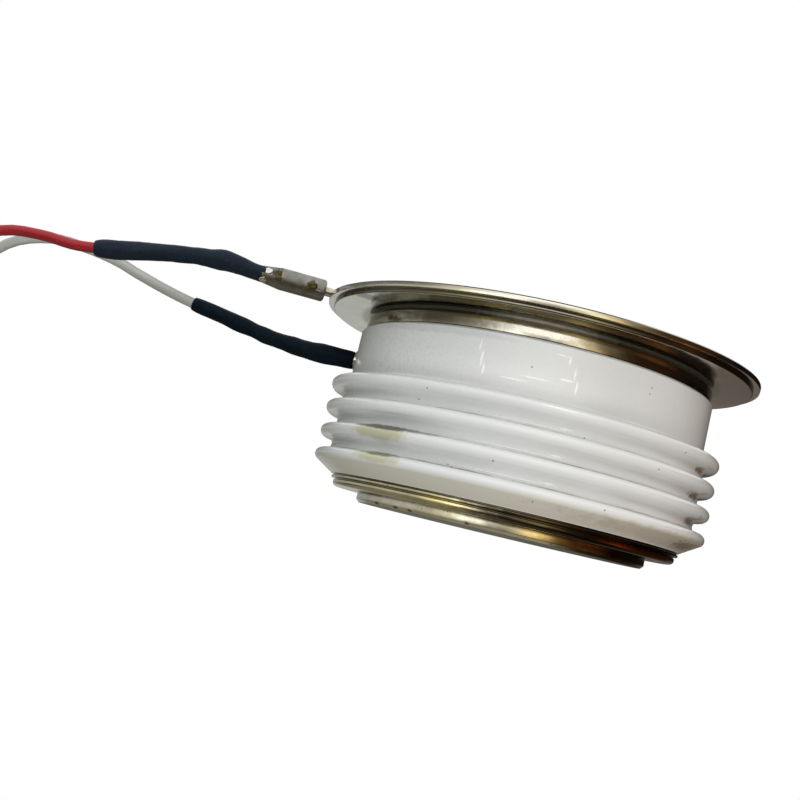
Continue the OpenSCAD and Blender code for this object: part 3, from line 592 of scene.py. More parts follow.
# %% Lamps
AIM = Vector((0, 0, 0.012))
LAMPS = [("overhead", (-0.05, -0.30, 0.55), (0.5, 0.4), 1.15, WHITE),
         ("from_the_front", (0.06, -0.56, 0.18), (0.30, 0.20), 1.14, WHITE),
         ("from_below", (-0.06, -0.44, -0.33), (0.36, 0.24), 0.85, WHITE),
         ("from_the_right", (0.42, -0.12, -0.02), (0.20, 0.20), 0.3, (1.0, 0.80, 0.62))]

for name, place, size, watts, colour in LAMPS:
    data = bpy.data.lights.new(name, "AREA")
    data.shape, data.size, data.size_y = "RECTANGLE", size[0], size[1]
    data.energy, data.color = watts, colour
    lamp = bpy.data.objects.new(name, data)
    bpy.context.scene.collection.objects.link(lamp)
    lamp.location = Vector(place)
    lamp.visible_glossy = False
    lamp.rotation_euler = (AIM - lamp.location).to_track_quat("-Z", "Y").to_euler()
print("lamps placed:", len(LAMPS))

# %% [markdown]
# ## Floor
# The floor is plain and pale. The photograph looks up from just under the lower face, so the floor shows only
# its upper side, and only to the camera: from below it lets the view and the light through.

# %% Floor
FLOOR_SIDE, FLOOR_Z = 1.6, -0.02 * MM


def make_floor():
    mesh = bpy.data.meshes.new("floor")
    s = FLOOR_SIDE / 2
    mesh.from_pydata([(x, y, FLOOR_Z) for x, y in ((-s, -s), (s, -s), (s, s), (-s, s))], [], [(0, 1, 2, 3)])
    floor = bpy.data.objects.new("floor", mesh)
    bpy.context.scene.collection.objects.link(floor)
    finish = bpy.data.materials.new("pale_floor")
    finish.use_nodes = True
    finish.node_tree.nodes.clear()
    b = Bench(finish.node_tree)
    pale = b.put("ShaderNodeBsdfDiffuse", inputs={0: (0.86, 0.86, 0.85)})
    clear = b.put("ShaderNodeBsdfTransparent")
    front = b.maths("SUBTRACT", 1.0, b.put("ShaderNodeNewGeometry", out="Backfacing"))
    shows = b.times(b.put("ShaderNodeLightPath", out="Is Camera Ray"), front)
    b.put("ShaderNodeOutputMaterial", inputs={0: b.put("ShaderNodeMixShader", inputs={0: shows, 1: clear, 2: pale})})
    mesh.materials.append(finish)


make_floor()
print("floor laid")

# %% [markdown]
# ## Shared effects
# Worn metal and old ceramic share a few effects: a place measured round the capsule, patches of stain, small
# specks, fine rings left by turning, and uneven smudges. Each one is a shader node group, built once and used
# with different values. The groups only give masks and values; the shader itself stays in the material.

# %% Build the node groups
def round_place_group():
    """Degrees from the front (right positive), radius and height in millimetres."""
    tree, b, given, out = new_group("Round Place", [("Place", VECTOR, None)], ["Angle", "Radius", "Height"])
    x, y, z = b.parts(given["Place"])
    b.feed(out["Angle"], b.times(b.round_the_axis(x, y), 180 / math.pi))
    b.feed(out["Radius"], b.from_the_axis(x, y))
    b.feed(out["Height"], z)
    return tree


def patch_group():
    """A soft, ragged patch round one place."""
    tree, b, given, out = new_group("Patch", [
        ("Place", VECTOR, None), ("Along", VALUE, 0), ("Across", VALUE, 0), ("At Along", VALUE, 0),
        ("At Across", VALUE, 0), ("Half Along", VALUE, 10), ("Half Across", VALUE, 1), ("Soft", VALUE, 0.4),
        ("Ragged", VALUE, 0.5), ("Grain", VALUE, 1.5)], ["Mask"])
    a, c = (b.maths("DIVIDE", b.maths("SUBTRACT", given[way], given["At " + way]), given["Half " + way])
            for way in ("Along", "Across"))
    rough = b.times(b.maths("SUBTRACT", b.noise(given["Place"], given["Grain"], 3.0, 0.6), 0.5), given["Ragged"])
    far = b.maths("ADD", b.from_the_axis(a, c), b.times(rough, 2.0))
    b.feed(out["Mask"], b.step(far, b.maths("ADD", 1.0, given["Soft"]), b.maths("SUBTRACT", 1.0, given["Soft"])))
    return tree


def specks_group():
    """Scattered dots: a share of the cells of a cell pattern holds one."""
    tree, b, given, out = new_group("Specks", [
        ("Place", VECTOR, None), ("Scale", VALUE, 1.0), ("Size", VALUE, 0.2), ("Share", VALUE, 0.2)], ["Mask"])
    cells = b.put("ShaderNodeTexVoronoi", inputs={"Vector": given["Place"], "Scale": given["Scale"]},
                  out=None).outputs
    draw = b.put("ShaderNodeSeparateColor", inputs={0: cells["Color"]}, out=None).outputs
    size = b.times(given["Size"], b.maths("MULTIPLY_ADD", draw[1], 0.8, 0.4))
    dot = b.step(cells["Distance"], size, b.times(size, 0.55))
    b.feed(out["Mask"], b.times(dot, b.maths("LESS_THAN", draw[0], given["Share"])))
    return tree


def turning_group():
    """Fine rings round the axis: noise that runs fast across the section and slowly round it."""
    tree, b, given, out = new_group("Turning Marks", [
        ("Place", VECTOR, None), ("Fineness", VALUE, 6.0), ("Wander", VALUE, 0.8), ("Detail", VALUE, 3.0)], ["Marks"])
    x, y, z = b.parts(given["Place"])
    radius = b.from_the_axis(x, y)
    safe = b.maths("MAXIMUM", radius, 0.01)
    across, round_it = (b.times(b.maths("DIVIDE", v, safe), given["Wander"]) for v in (x, y))
    spot = b.put("ShaderNodeCombineXYZ", inputs={0: b.times(radius, given["Fineness"]),
                                                 1: b.times(z, given["Fineness"]), 2: across})
    b.feed(out["Marks"], b.put("ShaderNodeTexNoise", {"noise_dimensions": "4D"}, {
        "Vector": spot, "W": round_it, "Scale": 1.0, "Detail": given["Detail"], "Roughness": 0.6}))
    return tree


def smudge_group():
    """Uneven clouds with more or less contrast, for roughness and colour that vary."""
    tree, b, given, out = new_group("Smudges", [
        ("Place", VECTOR, None), ("Scale", VALUE, 0.2), ("Contrast", VALUE, 2.0), ("Level", VALUE, 0.5)], ["Mask"])
    cloud = b.maths("SUBTRACT", b.noise(given["Place"], given["Scale"], 5.0, 0.6, 0.3), 0.5)
    b.feed(out["Mask"], b.maths("ADD", b.times(cloud, given["Contrast"]), given["Level"], clamp=True))
    return tree


GROUPS = {tree.name: tree for tree in (round_place_group(), patch_group(), specks_group(), turning_group(),
                                       smudge_group())}
print("groups:", ", ".join(GROUPS))

# %% [markdown]
# ## A finish
# Every material below is a Principled shader whose steady numbers sit on its own sockets. Colour, roughness
# and a bump vary over the surface and come from the groups. Patterns are measured in millimetres.

# %% The class that starts a finish
class Finish(Bench):
    def __init__(self, name, material=None, **constants):
        self.material = material or bpy.data.materials.new(name)
        self.material.use_nodes = True
        super().__init__(self.material.node_tree)
        self.tree.nodes.clear()
        self.shader = self.put("ShaderNodeBsdfPrincipled", out=None)
        self.put("ShaderNodeOutputMaterial", inputs={0: self.shader.outputs[0]})
        for key, value in constants.items():
            self.set(key.replace("_", " "), value)
        self.place = self.vectors("SCALE", {0: self.put("ShaderNodeTexCoord", out="Object"), "Scale": 1000.0})

    def set(self, socket, value):
        self.feed(self.shader.inputs[socket], value)

    def use(self, group, out=0, **inputs):
        node = self.put("ShaderNodeGroup", {"node_tree": GROUPS[group]}, {"Place": self.place}, out=None)
        for key, value in inputs.items():
            self.feed(node.inputs[key.replace("_", " ")], value)
        return node if out is None else node.outputs[out]

    def around(self):
        self.angle, self.radius, self.height = self.use("Round Place", out=None).outputs

    def smudges(self, scale, contrast, level=0.5):
        return self.use("Smudges", Scale=scale, Contrast=contrast, Level=level)

    def specks(self, scale, size, share):
        return self.use("Specks", Scale=scale, Size=size, Share=share)

    def patch(self, across, at, size, soft=0.4, ragged=0.4, grain=1.2):
        return self.use("Patch", Along=self.angle, Across=across, At_Along=at[0], At_Across=at[1],
                        Half_Along=size[0], Half_Across=size[1], Soft=soft, Ragged=ragged, Grain=grain)

    def tint(self, colour, mask, depth, tint):
        """Lays a tint over a colour, as deep as the mask and the depth say."""
        return self.mix(self.times(mask, depth), colour, tint)

    def cloud(self, *values):
        return self.noise(self.place, *values)

    def lay(self, colour, sheen, rough, height, strength, distance):
        """The three things that vary: colour, roughness between two ends, and a bump."""
        self.set("Base Color", colour)
        self.set("Roughness", self.blend(sheen, *rough))
        self.bump(height, strength, distance)
        return self.material

    def bump(self, height, strength, distance):
        self.set("Normal", self.put("ShaderNodeBump", inputs={
            "Height": height, "Strength": strength, "Distance": distance * MM}))


print("finish class ready")

# %% [markdown]
# ## Glazed ceramic
# The ring is white alumina with a clear glaze. Old flux and dirt have left yellow-olive stains on the lower
# ribs, chipped brown places near the right edge and a few specks. The dark lines in the creases are painted
# shade with some dirt, and white glints in the glaze are painted highlights. The glaze is the coat, and the
# body under it is duller. Each mark stands in a table by its angle and height.

# %% Marks on the ceramic
FIRST_RIB, RIB_PITCH, RIBS = 5.35, 3.2, 4
# (angle, height), (half angle, half height), depth, tint
# The first two are stains of old flux. The next three, thin dark lines along the rib tops, are painted shade with
# some dirt; the sixth is painted shade under the ring, and the last darkens the foot towards the right.
CERAMIC_STAINS_AND_SHADE = [((-38.5, 8.35), (9.5, 0.85), 1.0, (0.60, 0.585, 0.41)),
          ((-37.5, 5.35), (7.5, 0.6), 1.0, (0.63, 0.61, 0.44)),
          ((-37.5, 9.06), (10.5, 0.36), 0.97, (0.05, 0.05, 0.035)),
          ((-37, 5.86), (6.5, 0.28), 0.85, (0.12, 0.12, 0.08)),
          ((-26, 9.05), (6, 0.16), 0.6, (0.16, 0.16, 0.13)),
          ((-30, 21.8), (22, 0.5), 0.25, (0.42, 0.42, 0.42)),
          ((80, 4.0), (60, 0.9), 0.55, (0.46, 0.37, 0.28))]
CHIPS = [((68.0, 13.45), (3.5, 0.35)), ((67.5, 10.2), (4.5, 0.5)), ((67.5, 7.1), (5.0, 0.55)),
         ((66.0, 3.8), (9.0, 0.5))]
PIN_SPECKS = [(-4.9, 7.6), (-16.9, 6.25), (-15.6, 6.01), (38.6, 11.28), (24.9, 5.16), (6.9, 4.18), (-30.3, 13.06),
              (-26, 14.26), (35.2, 20.47), (34.9, 19.72), (-0.7, 19.13), (48, 14.2), (-52, 11.9), (17, 12.6)]
# Painted highlights in the glaze: (angle, height), (half angle, half height)
PAINTED_GLINTS = [((-15.9, 20.4), (0.22, 0.6)), ((-14.8, 19.1), (0.3, 0.7)), ((-13.7, 17.9), (0.24, 0.6)),
          ((-5.2, 17.35), (3.0, 0.07)), ((0.6, 17.95), (2.8, 0.07)), ((9.2, 20.7), (0.3, 0.4)),
          ((11.3, 19.5), (0.24, 0.6)), ((12.4, 17.9), (0.22, 0.7)), ((6.9, 21.2), (1.6, 0.07)),
          ((9.3, 18.5), (1.7, 0.1)), ((1.0, 12.78), (12, 0.05)), ((11.4, 13.0), (1.6, 0.08)),
          ((-0.5, 9.58), (13, 0.05)), ((10.8, 9.8), (1.6, 0.08)), ((-1.5, 6.4), (12, 0.05)),
          ((10.2, 6.6), (1.6, 0.08)), ((8.5, 14.9), (4.5, 0.06))]
print("marks on the ceramic:", len(CERAMIC_STAINS_AND_SHADE) + len(CHIPS) + len(PIN_SPECKS) + len(PAINTED_GLINTS))

# %% Ceramic finish
def shade_and_dirt_in_creases(f):
    """A thin line of painted shade, with some dirt, on the upper root of each rib, as seen from below."""
    local = f.maths("WRAP", f.height, FIRST_RIB + RIB_PITCH / 2, FIRST_RIB - RIB_PITCH / 2)
    local = f.maths("SUBTRACT", local, FIRST_RIB)
    return f.times(f.step(local, 0.48, 0.54), f.step(local, 0.80, 0.66), f.step(f.radius, 25.6, 25.4),
                   f.step(f.height, 16.0, 15.4))


def ceramic_finish():
    f = Finish("glazed_ceramic_finish", Coat_Roughness=0.06, Coat_IOR=1.5, IOR=1.5, Specular_IOR_Level=0.5,
               Emission_Strength=1.0)
    f.around()
    white = f.mix(f.smudges(0.09, 1.6), (0.80, 0.82, 0.82), (0.87, 0.88, 0.88))
    #     The left of the upper band is mottled, and the slanted foot of the lowest rib is a little yellower, and
    #     darker as painted shade
    mottle = f.step(f.cloud(2.6, 4.0, 0.7), 0.42, 0.72)
    left = f.times(f.step(f.angle, 0, -60, 0.1, 0.55), f.step(f.height, 15.0, 16.5, 0.5, 1.0))
    white = f.tint(white, mottle, left, (0.58, 0.62, 0.64))
    white = f.tint(white, f.step(f.height, 5.1, 4.3), 0.85, (0.72, 0.685, 0.59))
    crease_shade_and_dirt = shade_and_dirt_in_creases(f)
    # Painted shade, with some dirt: each crease line is darkened
    white = f.tint(white, f.times(crease_shade_and_dirt, f.smudges(0.22, 3.0, 0.62)), 0.85, (0.16, 0.15, 0.13))
    # Stains, with painted shade along the rib tops and under the ring
    for at, size, depth, colour in CERAMIC_STAINS_AND_SHADE:
        white = f.tint(white, f.patch(f.height, at, size, 0.35, 0.5, 0.9), depth, colour)
    for at, size in CHIPS:
        white = f.tint(white, f.patch(f.height, at, size, 0.3, 1.6, 1.9), 0.9, (0.24, 0.185, 0.14))
    for at in PIN_SPECKS:
        white = f.tint(white, f.patch(f.height, at, (0.24, 0.09), 0.4, 0.5, 4.0), 0.8, (0.10, 0.08, 0.06))
    white = f.tint(white, f.specks(2.3, 0.12, 0.06), 0.3, (0.45, 0.42, 0.36))
    #     Painted highlights: glints drawn white, with a faint glow, where the glaze has run into fine wrinkles
    painted_glint = 0.0
    for at, size in PAINTED_GLINTS:
        painted_glint = f.maths("MAXIMUM", painted_glint, f.patch(f.height, at, size, 0.8, 1.1, 2.6))
    f.set("Emission Color", f.mix(painted_glint, (0, 0, 0), (0.10, 0.12, 0.14)))
    f.set("Coat Weight", f.maths("SUBTRACT", 0.9, f.times(crease_shade_and_dirt, 0.6)))
    return f.lay(f.mix(painted_glint, white, WHITE), f.smudges(0.5, 2.0), (0.28, 0.45), f.cloud(0.55, 2.0, 0.5), 0.35, 0.06)


glaze = ceramic_finish()
print("made", glaze.name)

# %% [markdown]
# ## Plated metal
# Nickel plate on thin sheet mirrors the room. Over the years it takes on a faint yellow, small pits and fine
# rings from forming. One builder makes all the plated finishes with different tints and amounts, and tables
# by angle add each piece's stains, painted shade and painted highlights.

# %% Plated finishes
def plated_finish(name, bright, dull, rough, fineness, marks, pits, extra=None, smudge=0.25, dull_face=None,
                  shade_and_tarnish=None):
    f = Finish(name, Metallic=1.0)
    f.around()
    colour = f.mix(f.smudges(smudge, 2.2, 0.45), bright, dull)
    rings = f.use("Turning Marks", Fineness=fineness, Wander=1.2, Detail=4.0)
    colour = f.tint(colour, f.step(rings, 0.42, 0.62), 0.3, dull)
    spots = f.specks(1.6, 0.2, 0.16)
    colour = f.tint(colour, spots, pits, (0.10, 0.08, 0.06))
    f.set("Base Color", extra(f, colour) if extra else colour)
    # Where the mask says, the metal turns dark and dull: painted shade with some tarnish
    if shade_and_tarnish:
        f.set("Metallic", f.maths("MULTIPLY_ADD", shade_and_tarnish(f), -0.85, 1.0))
    grey = f.blend(f.smudges(0.8, 2.4), *rough)
    if dull_face:
        grey = f.blend(f.step(f.height, *dull_face), grey, 0.5)
    f.set("Roughness", f.maths("MULTIPLY_ADD", spots, 0.2, grey))
    f.bump(f.maths("MULTIPLY_ADD", rings, marks, f.times(f.cloud(3.0, 4.0, 0.65), 0.5)), 0.16, 0.02)
    return f.material


def stains_and_painted_light(spots, across):
    """Adds patches of (angle, where, half angle, half width, depth, tint) to a plated finish: stains, painted shade
    and painted highlights.
    """
    def add(f, colour):
        for angle, where, wide, high, depth, tint in spots:
            mask = f.patch(getattr(f, across), (angle, where), (wide, high), 0.5, 0.4, 0.9)
            colour = f.tint(colour, mask, depth, tint)
        return colour
    return add


print("plated finish ready")

# %% Marks of the ring and the lid
# The two patches either side of the front, at radius 24.2, are painted shade under the rim; the patch on the right
# darkens the rim's underside, and the one on the left is a stain.
UNDER_RIM_STAINS_AND_SHADE = [(75, 26, 32, 4.5, 0.5, (0.22, 0.17, 0.12)), (-53.5, 27.2, 3.2, 2.1, 0.85, (0.15, 0.16, 0.17)),
                    (-27, 24.2, 17, 1.7, 0.85, (0.12, 0.11, 0.075)), (27, 24.2, 17, 1.6, 0.6, (0.14, 0.12, 0.09))]


def above_foot(f):
    return f.step(f.height, 24.05, 24.1)


def neck_of_ring(f):
    return f.times(above_foot(f), f.step(f.radius, 23.7, 23.1))


def ring_marks(f, colour):
    """Stains and painted shade under the rim, a neck darkened as painted shade with some brazing tarnish and a
    painted reflection at its front, a speckled foot and a dark joint on the ceramic.
    """
    colour = stains_and_painted_light(UNDER_RIM_STAINS_AND_SHADE, "radius")(f, colour)
    # Painted shade, with some brazing tarnish: darker under the rim towards the neck
    colour = f.tint(colour, above_foot(f), f.step(f.radius, 24.9, 23.8), (0.30, 0.29, 0.21))
    # The neck is painted dark as shade under the rim, with some brazing tarnish; its front holds a painted reflection
    painted_neck_reflection = f.patch(f.height, (0, 24.35), (15, 0.5), 0.7, 0.5, 1.0)
    colour = f.mix(neck_of_ring(f), colour, f.mix(painted_neck_reflection, (0.105, 0.10, 0.075), (0.62, 0.59, 0.50)))
    grain = f.times(f.specks(4.2, 0.32, 0.5), f.step(f.height, 24.1, 24.0))
    colour = f.tint(colour, grain, 0.35, (0.30, 0.28, 0.22))
    colour = f.mix(f.step(f.radius, 28.15, 28.3), colour, (0.30, 0.285, 0.24))
    return f.mix(f.step(f.height, 22.66, 22.6), colour, (0.04, 0.035, 0.028))


def lid_marks(f, colour):
    """Darker along the top of the cut edge, less so towards the right."""
    edge = f.times(f.step(f.height, 25.70, 25.75), f.step(f.radius, 28.8, 28.9))
    return f.tint(colour, edge, f.step(f.angle, 30, 12, 0.25, 1.0), (0.035, 0.033, 0.03))


print("stains under the rim:", len(UNDER_RIM_STAINS_AND_SHADE))

# %% The five plated finishes
# The dark patches on the right and at the front right are painted shade and the pale and gold patches painted
# highlights; the ring at 2.95 is the dark joint of the braze, and the one at 2.3 darkens the groove.
FLANGE_STAINS_AND_PAINTED_LIGHT = [
    (42, 2.2, 48, 1.6, 0.94, (0.07, 0.053, 0.035)), (8, 2.0, 7, 0.14, 0.6, (0.60, 0.54, 0.42)),
    (52, 1.85, 20, 0.3, 0.85, (0.85, 0.33, 0.08)), (-17, 2.1, 8, 0.35, 0.7, (1.0, 0.88, 0.45)),
    (0, 2.95, 400, 0.24, 0.9, (0.07, 0.06, 0.045)), (0, 2.3, 400, 0.09, 0.8, (0.10, 0.09, 0.07)),
    (12, 2.1, 18, 1.6, 0.85, (0.07, 0.056, 0.04))]
# The gold and orange-gold patches at the front are painted highlights and the brown patch on the right painted
# shade; the ring at the bottom greys the lower edge, and the four small patches are dark specks.
LOWER_POLE_STAINS_AND_PAINTED_LIGHT = [
    (13, 0.6, 6.5, 0.7, 0.6, (1.0, 0.84, 0.50)), (62, 0.6, 32, 1.6, 0.85, (0.12, 0.06, 0.03)),
    (26, 0.7, 7, 0.6, 0.5, (0.55, 0.30, 0.08)), (0, -0.05, 400, 0.1, 0.8, (0.34, 0.33, 0.29)),
    (-52.5, 0.3, 1.3, 0.16, 0.9, (0.1, 0.09, 0.07)), (-41, 0.3, 1.2, 0.14, 0.9, (0.1, 0.09, 0.07)),
    (-34, 0.28, 1.0, 0.14, 0.9, (0.1, 0.09, 0.07)), (-11, 0.3, 0.8, 0.12, 0.9, (0.1, 0.09, 0.07))]
# The ring's neck turns dark and dull: painted shade under the rim, with some brazing tarnish
ring_plate = plated_finish("plated_ring_finish", (0.86, 0.85, 0.80), (0.66, 0.64, 0.56), (0.05, 0.16), 7.0, 0.3, 0.5,
                           ring_marks, shade_and_tarnish=neck_of_ring)
lid_plate = plated_finish("plated_lid_finish", (0.84, 0.83, 0.80), (0.66, 0.63, 0.56), (0.07, 0.2), 5.0, 0.3, 0.35,
                          lid_marks)
flange_plate = plated_finish("plated_flange_finish", (0.78, 0.74, 0.62), (0.55, 0.49, 0.33), (0.05, 0.15), 6.0, 0.3,
                             0.5, stains_and_painted_light(FLANGE_STAINS_AND_PAINTED_LIGHT, "height"))
lower_plate = plated_finish("lower_pole_finish", (0.84, 0.82, 0.76), (0.60, 0.57, 0.48), (0.10, 0.24), 3.0, 0.4, 0.8,
                            stains_and_painted_light(LOWER_POLE_STAINS_AND_PAINTED_LIGHT, "height"), smudge=0.5, dull_face=(0.1, 0.0))
upper_plate = plated_finish("upper_pole_finish", (0.76, 0.75, 0.71), (0.56, 0.53, 0.46), (0.25, 0.42), 3.0, 0.4, 0.5,
                            smudge=0.3)
print("five plated finishes made")

# %% [markdown]
# ## Turned pieces
# The ceramic, the ring, the lid, the flange and the pole are all solids of revolution. Their section is drawn
# as a closed outline of points with small fillets, and a Geometry Nodes tree turns it round the axis. The
# tree sweeps the outline along a circle, so the outline is measured from that circle.

# %% Outline helpers
def on_circle(centre, radius, angle):
    """A point on a circle or, with a pair of radii, an ellipse; degrees from the outward direction."""
    wide, high = radius if isinstance(radius, tuple) else (radius, radius)
    return centre[0] + wide * math.cos(math.radians(angle)), centre[1] + high * math.sin(math.radians(angle))


def arc(centre, radius, start, end, steps):
    return [on_circle(centre, radius, start + (end - start) * i / steps) for i in range(steps + 1)]


def fillet(points, steps=5):
    """Rounds each corner that is given as (radius from the axis, height, fillet)."""
    out, n = [], len(points)
    for i, p in enumerate(points):
        if len(p) < 3:
            out.append(p)
            continue
        here = Vector(p[:2])
        before, after = Vector(points[i - 1][:2]) - here, Vector(points[(i + 1) % n][:2]) - here
        half = before.angle(after) / 2
        cut = min(p[2] / math.tan(half), before.length * 0.49, after.length * 0.49)
        start, end = here + before.normalized() * cut, here + after.normalized() * cut
        for k in range(steps + 1):
            t = k / steps
            q = start * (1 - t) ** 2 + here * 2 * t * (1 - t) + end * t ** 2
            out.append((q.x, q.y))
    return out


print("outline helpers ready")

# %% Turn an outline round the axis
GUIDE = 20.0


def turning_tree():
    tree, b, given, out = geometry_tree("Turned Piece", [("Steps", COUNT, 256), ("Guide Radius", VALUE, 0.02)])
    outline = b.put("GeometryNodeMeshToCurve", inputs={0: given["Geometry"]})
    guide = b.put("GeometryNodeCurvePrimitiveCircle", inputs={"Resolution": given["Steps"],
                                                              "Radius": given["Guide Radius"]})
    upright = b.put("GeometryNodeSetCurveNormal", {"mode": "Z_UP"}, {0: guide})
    paint_and_end(b, b.put("GeometryNodeCurveToMesh", inputs={0: upright, 1: outline}), given, out)
    return tree


TURNED = turning_tree()


def turned_piece(name, outline, finish, steps=288, sharp=40):
    """Turns a closed outline of (radius, height) in millimetres round the capsule's axis."""
    points = [((r - GUIDE) * MM, -z * MM, 0) for r, z in outline]
    piece = grow(name, line_mesh(name + "_outline", points, closed=True), TURNED,
                 {"Steps": steps, "Guide Radius": GUIDE * MM, "Finish": finish}, sharp)
    print("%s: %d outline points, %d faces" % (name, len(points), len(piece.data.polygons)))
    return piece


print("turning tree:", len(TURNED.nodes), "nodes")

# %% The ceramic ring
CERAMIC_Z, RING_Z = 2.95, 22.5
BORE_R, WALL_R, CREST_X, CREST_R = 21.5, 23.85, 25.35, 0.8
CREST_DROP, CREST_UP, CREST_DOWN, GROOVE_X = 0.2, 0.75, 0.85, 25.1
RIB_Z = [FIRST_RIB + RIB_PITCH * i for i in range(RIBS)]


def crest(z, start, end, steps=18):
    """A rib's rounded crest between two angles from the outward direction, flatter above than below."""
    return [(CREST_X + CREST_R * x, z - CREST_DROP + (CREST_UP if up > 0 else CREST_DOWN) * up)
            for x, up in arc((0, 0), 1, start, end, steps)]


def groove(low, high):
    """The groove between two ribs: round at the bottom, and open to the slanted underside of the rib above."""
    half = (high - low) / 2
    return arc((GROOVE_X, low + half), (CREST_R, half), -88, -238, 14)


def ceramic_outline():
    pts = [(BORE_R, CERAMIC_Z, 0.1), (WALL_R - 0.42, CERAMIC_Z, 0.04), (WALL_R - 0.33, CERAMIC_Z + 0.1, 0.04)]
    pts += crest(RIB_Z[0], -50, 84, 16)
    for low, high in zip(RIB_Z, RIB_Z[1:]):
        pts += groove(low - CREST_DROP + CREST_UP, high - CREST_DROP - CREST_DOWN)
        pts += crest(high, -62, 84)
    pts += [(WALL_R, RIB_Z[-1] - CREST_DROP + CREST_UP, 0.6), (WALL_R, RING_Z - 0.25, 0.1),
            (WALL_R - 0.25, RING_Z, 0.06), (BORE_R, RING_Z, 0.1)]
    return fillet(pts)


settle(turned_piece("ceramic_ring", ceramic_outline(), glaze, 320), "glazed_ceramic", "ceramic_housing")

# %% The lower pole and the dished flange
POLE_R, POLE_FACE_R, FLOOR_LOW, FLOOR_TOP = 19.2, 19.4, 1.35, 1.85
HOLE_R, HOLE_DEPTH, COLUMN_TOP = 1.75, 2.1, 11.6
pole_outline = fillet([(0, HOLE_DEPTH), (HOLE_R, HOLE_DEPTH, 0.05), (HOLE_R, 0, 0.12), (2.2, 0), (18.6, 0),
                       (19.0, 0, 0.1), (POLE_FACE_R, 0.38, 0.14), (POLE_FACE_R, FLOOR_LOW, 0.04),
                       (POLE_R, FLOOR_LOW), (POLE_R, COLUMN_TOP, 0.1), (0, COLUMN_TOP)])
settle(turned_piece("lower_pole", pole_outline, lower_plate), "plated_copper_lower", "anode_pole")

# From the floor the flange bends up to a short wall, a shallow groove, a lip and the recess of the braze
WALL_OUT, GROOVE_R, LIP_R, RECESS_R = 22.95, 22.8, 23.3, 23.12
flange_outline = fillet([(POLE_R, FLOOR_LOW, 0.04)] + arc((22.2, FLOOR_TOP), (0.75, 0.5), -90, 0, 12) + [
    (WALL_OUT, 2.16, 0.05), (GROOVE_R, 2.22, 0.04), (GROOVE_R, 2.38, 0.04), (LIP_R, 2.43, 0.05), (LIP_R, 2.7, 0.05),
    (RECESS_R, 2.76, 0.03), (RECESS_R, CERAMIC_Z, 0.03), (21.9, CERAMIC_Z, 0.05), (21.9, 2.5, 0.05),
    (22.45, 2.5, 0.05), (22.4, FLOOR_TOP), (POLE_R, FLOOR_TOP, 0.04)])
settle(turned_piece("lower_flange", flange_outline, flange_plate), "plated_sheet_lower", "anode_flange")

# %% The weld ring
INSIDE_R, FOOT_R, FOOT_TOP, NECK_R = 22.2, 23.5, 24.07, 22.71
RIM_R, RIM_LOW, LID_LOW = 28.4, 24.7, 25.2
NECK_CENTRE, NECK_FILLET, NECK_FROM, NECK_STEPS = (23.4, 24.0), 0.7, 171, 30
RIDGES, RIDGE_WIDTH = ((160, 0.06), (134, 0.05)), 4.5


def neck_points():
    """The fillet from the foot up to the rim's underside, with two fine ridges left by the forming tool."""
    out = []
    for i in range(NECK_STEPS + 1):
        angle = NECK_FROM + (90 - NECK_FROM) * i / NECK_STEPS
        proud = sum(high * math.exp(-((angle - at) / RIDGE_WIDTH) ** 2) for at, high in RIDGES)
        out.append(on_circle(NECK_CENTRE, NECK_FILLET - proud, angle))
    return out


ring_outline = fillet([(INSIDE_R, RING_Z, 0.05), (FOOT_R - 0.04, RING_Z, 0.08), (FOOT_R, FOOT_TOP, 0.08),
                       (NECK_R, FOOT_TOP + 0.03, 0.02)] + neck_points()
                      + [(RIM_R, RIM_LOW, 0.2), (RIM_R, LID_LOW, 0.1), (INSIDE_R, LID_LOW, 0.05)])
settle(turned_piece("weld_ring_shell", ring_outline, ring_plate, 320), "plated_ring", "weld_ring")

# %% The lid
LID_TOP, CREASE, CREASE_OUT, CREASE_IN = 25.6, (21.0, 25.6), 0.9, 0.5
EDGE_R, EDGE_TOP = 29.2, 25.88


def lid_outline():
    """The lid's section: its seat on the pole, the round crease, and the upright cut edge of the weld."""
    under = math.degrees(math.asin((LID_TOP - LID_LOW) / CREASE_OUT))
    pts = [(POLE_R, LID_LOW)] + arc(CREASE, CREASE_OUT, 180 + under, 360 - under, 16)
    pts += fillet([(28.3, LID_LOW), (EDGE_R, LID_LOW, 0.05), (EDGE_R + 0.05, EDGE_TOP, 0.19), (28.75, EDGE_TOP, 0.12),
                   (28.65, LID_TOP, 0.12), (28.5, LID_TOP)], 6)[1:-1]
    return pts + arc(CREASE, CREASE_IN, 0, -180, 16) + [(POLE_R, LID_TOP)]


settle(turned_piece("lid_sheet", lid_outline(), lid_plate, 320), "plated_lid", "lid_flange")

# %% [markdown]
# ## Smooth copies
# A solid's mesh comes as loose flat triangles. Where its shape is right and only its shading is hard, a copy
# is merged and shaded smoothly up to a sharp angle. Flat faces are shaded flat, because their long thin
# triangles would show otherwise. The solid itself isn't touched.

# %% Copy a solid and smooth it
def smooth_copy(name, node, finish, sharp=30):
    bm = bmesh.new()
    bm.from_mesh(nodes[node].data)
    bm.transform(nodes[node].matrix_world)
    bmesh.ops.remove_doubles(bm, verts=bm.verts, dist=2e-6)
    mesh = plain_mesh(name, bm, outwards=False)
    mesh.materials.clear()
    mesh.materials.append(finish)
    for face in mesh.polygons:
        face.material_index = 0
    piece = piece_from_mesh(name, mesh, sharp)
    for face in mesh.polygons:
        face.use_smooth = abs(face.normal.z) < 0.9999
    return piece


upper_pole = settle(smooth_copy("upper_pole", "cathode_pole", upper_plate), "plated_copper_upper", "cathode_pole")
print("upper pole:", len(upper_pole.data.polygons), "faces")

# %% [markdown]
# ## Finishes of the small metal
# Solder is bright and lumpy, the crimp barrel dull grey with amber flux, and the pin and the gate tube are
# plated like the sheets.

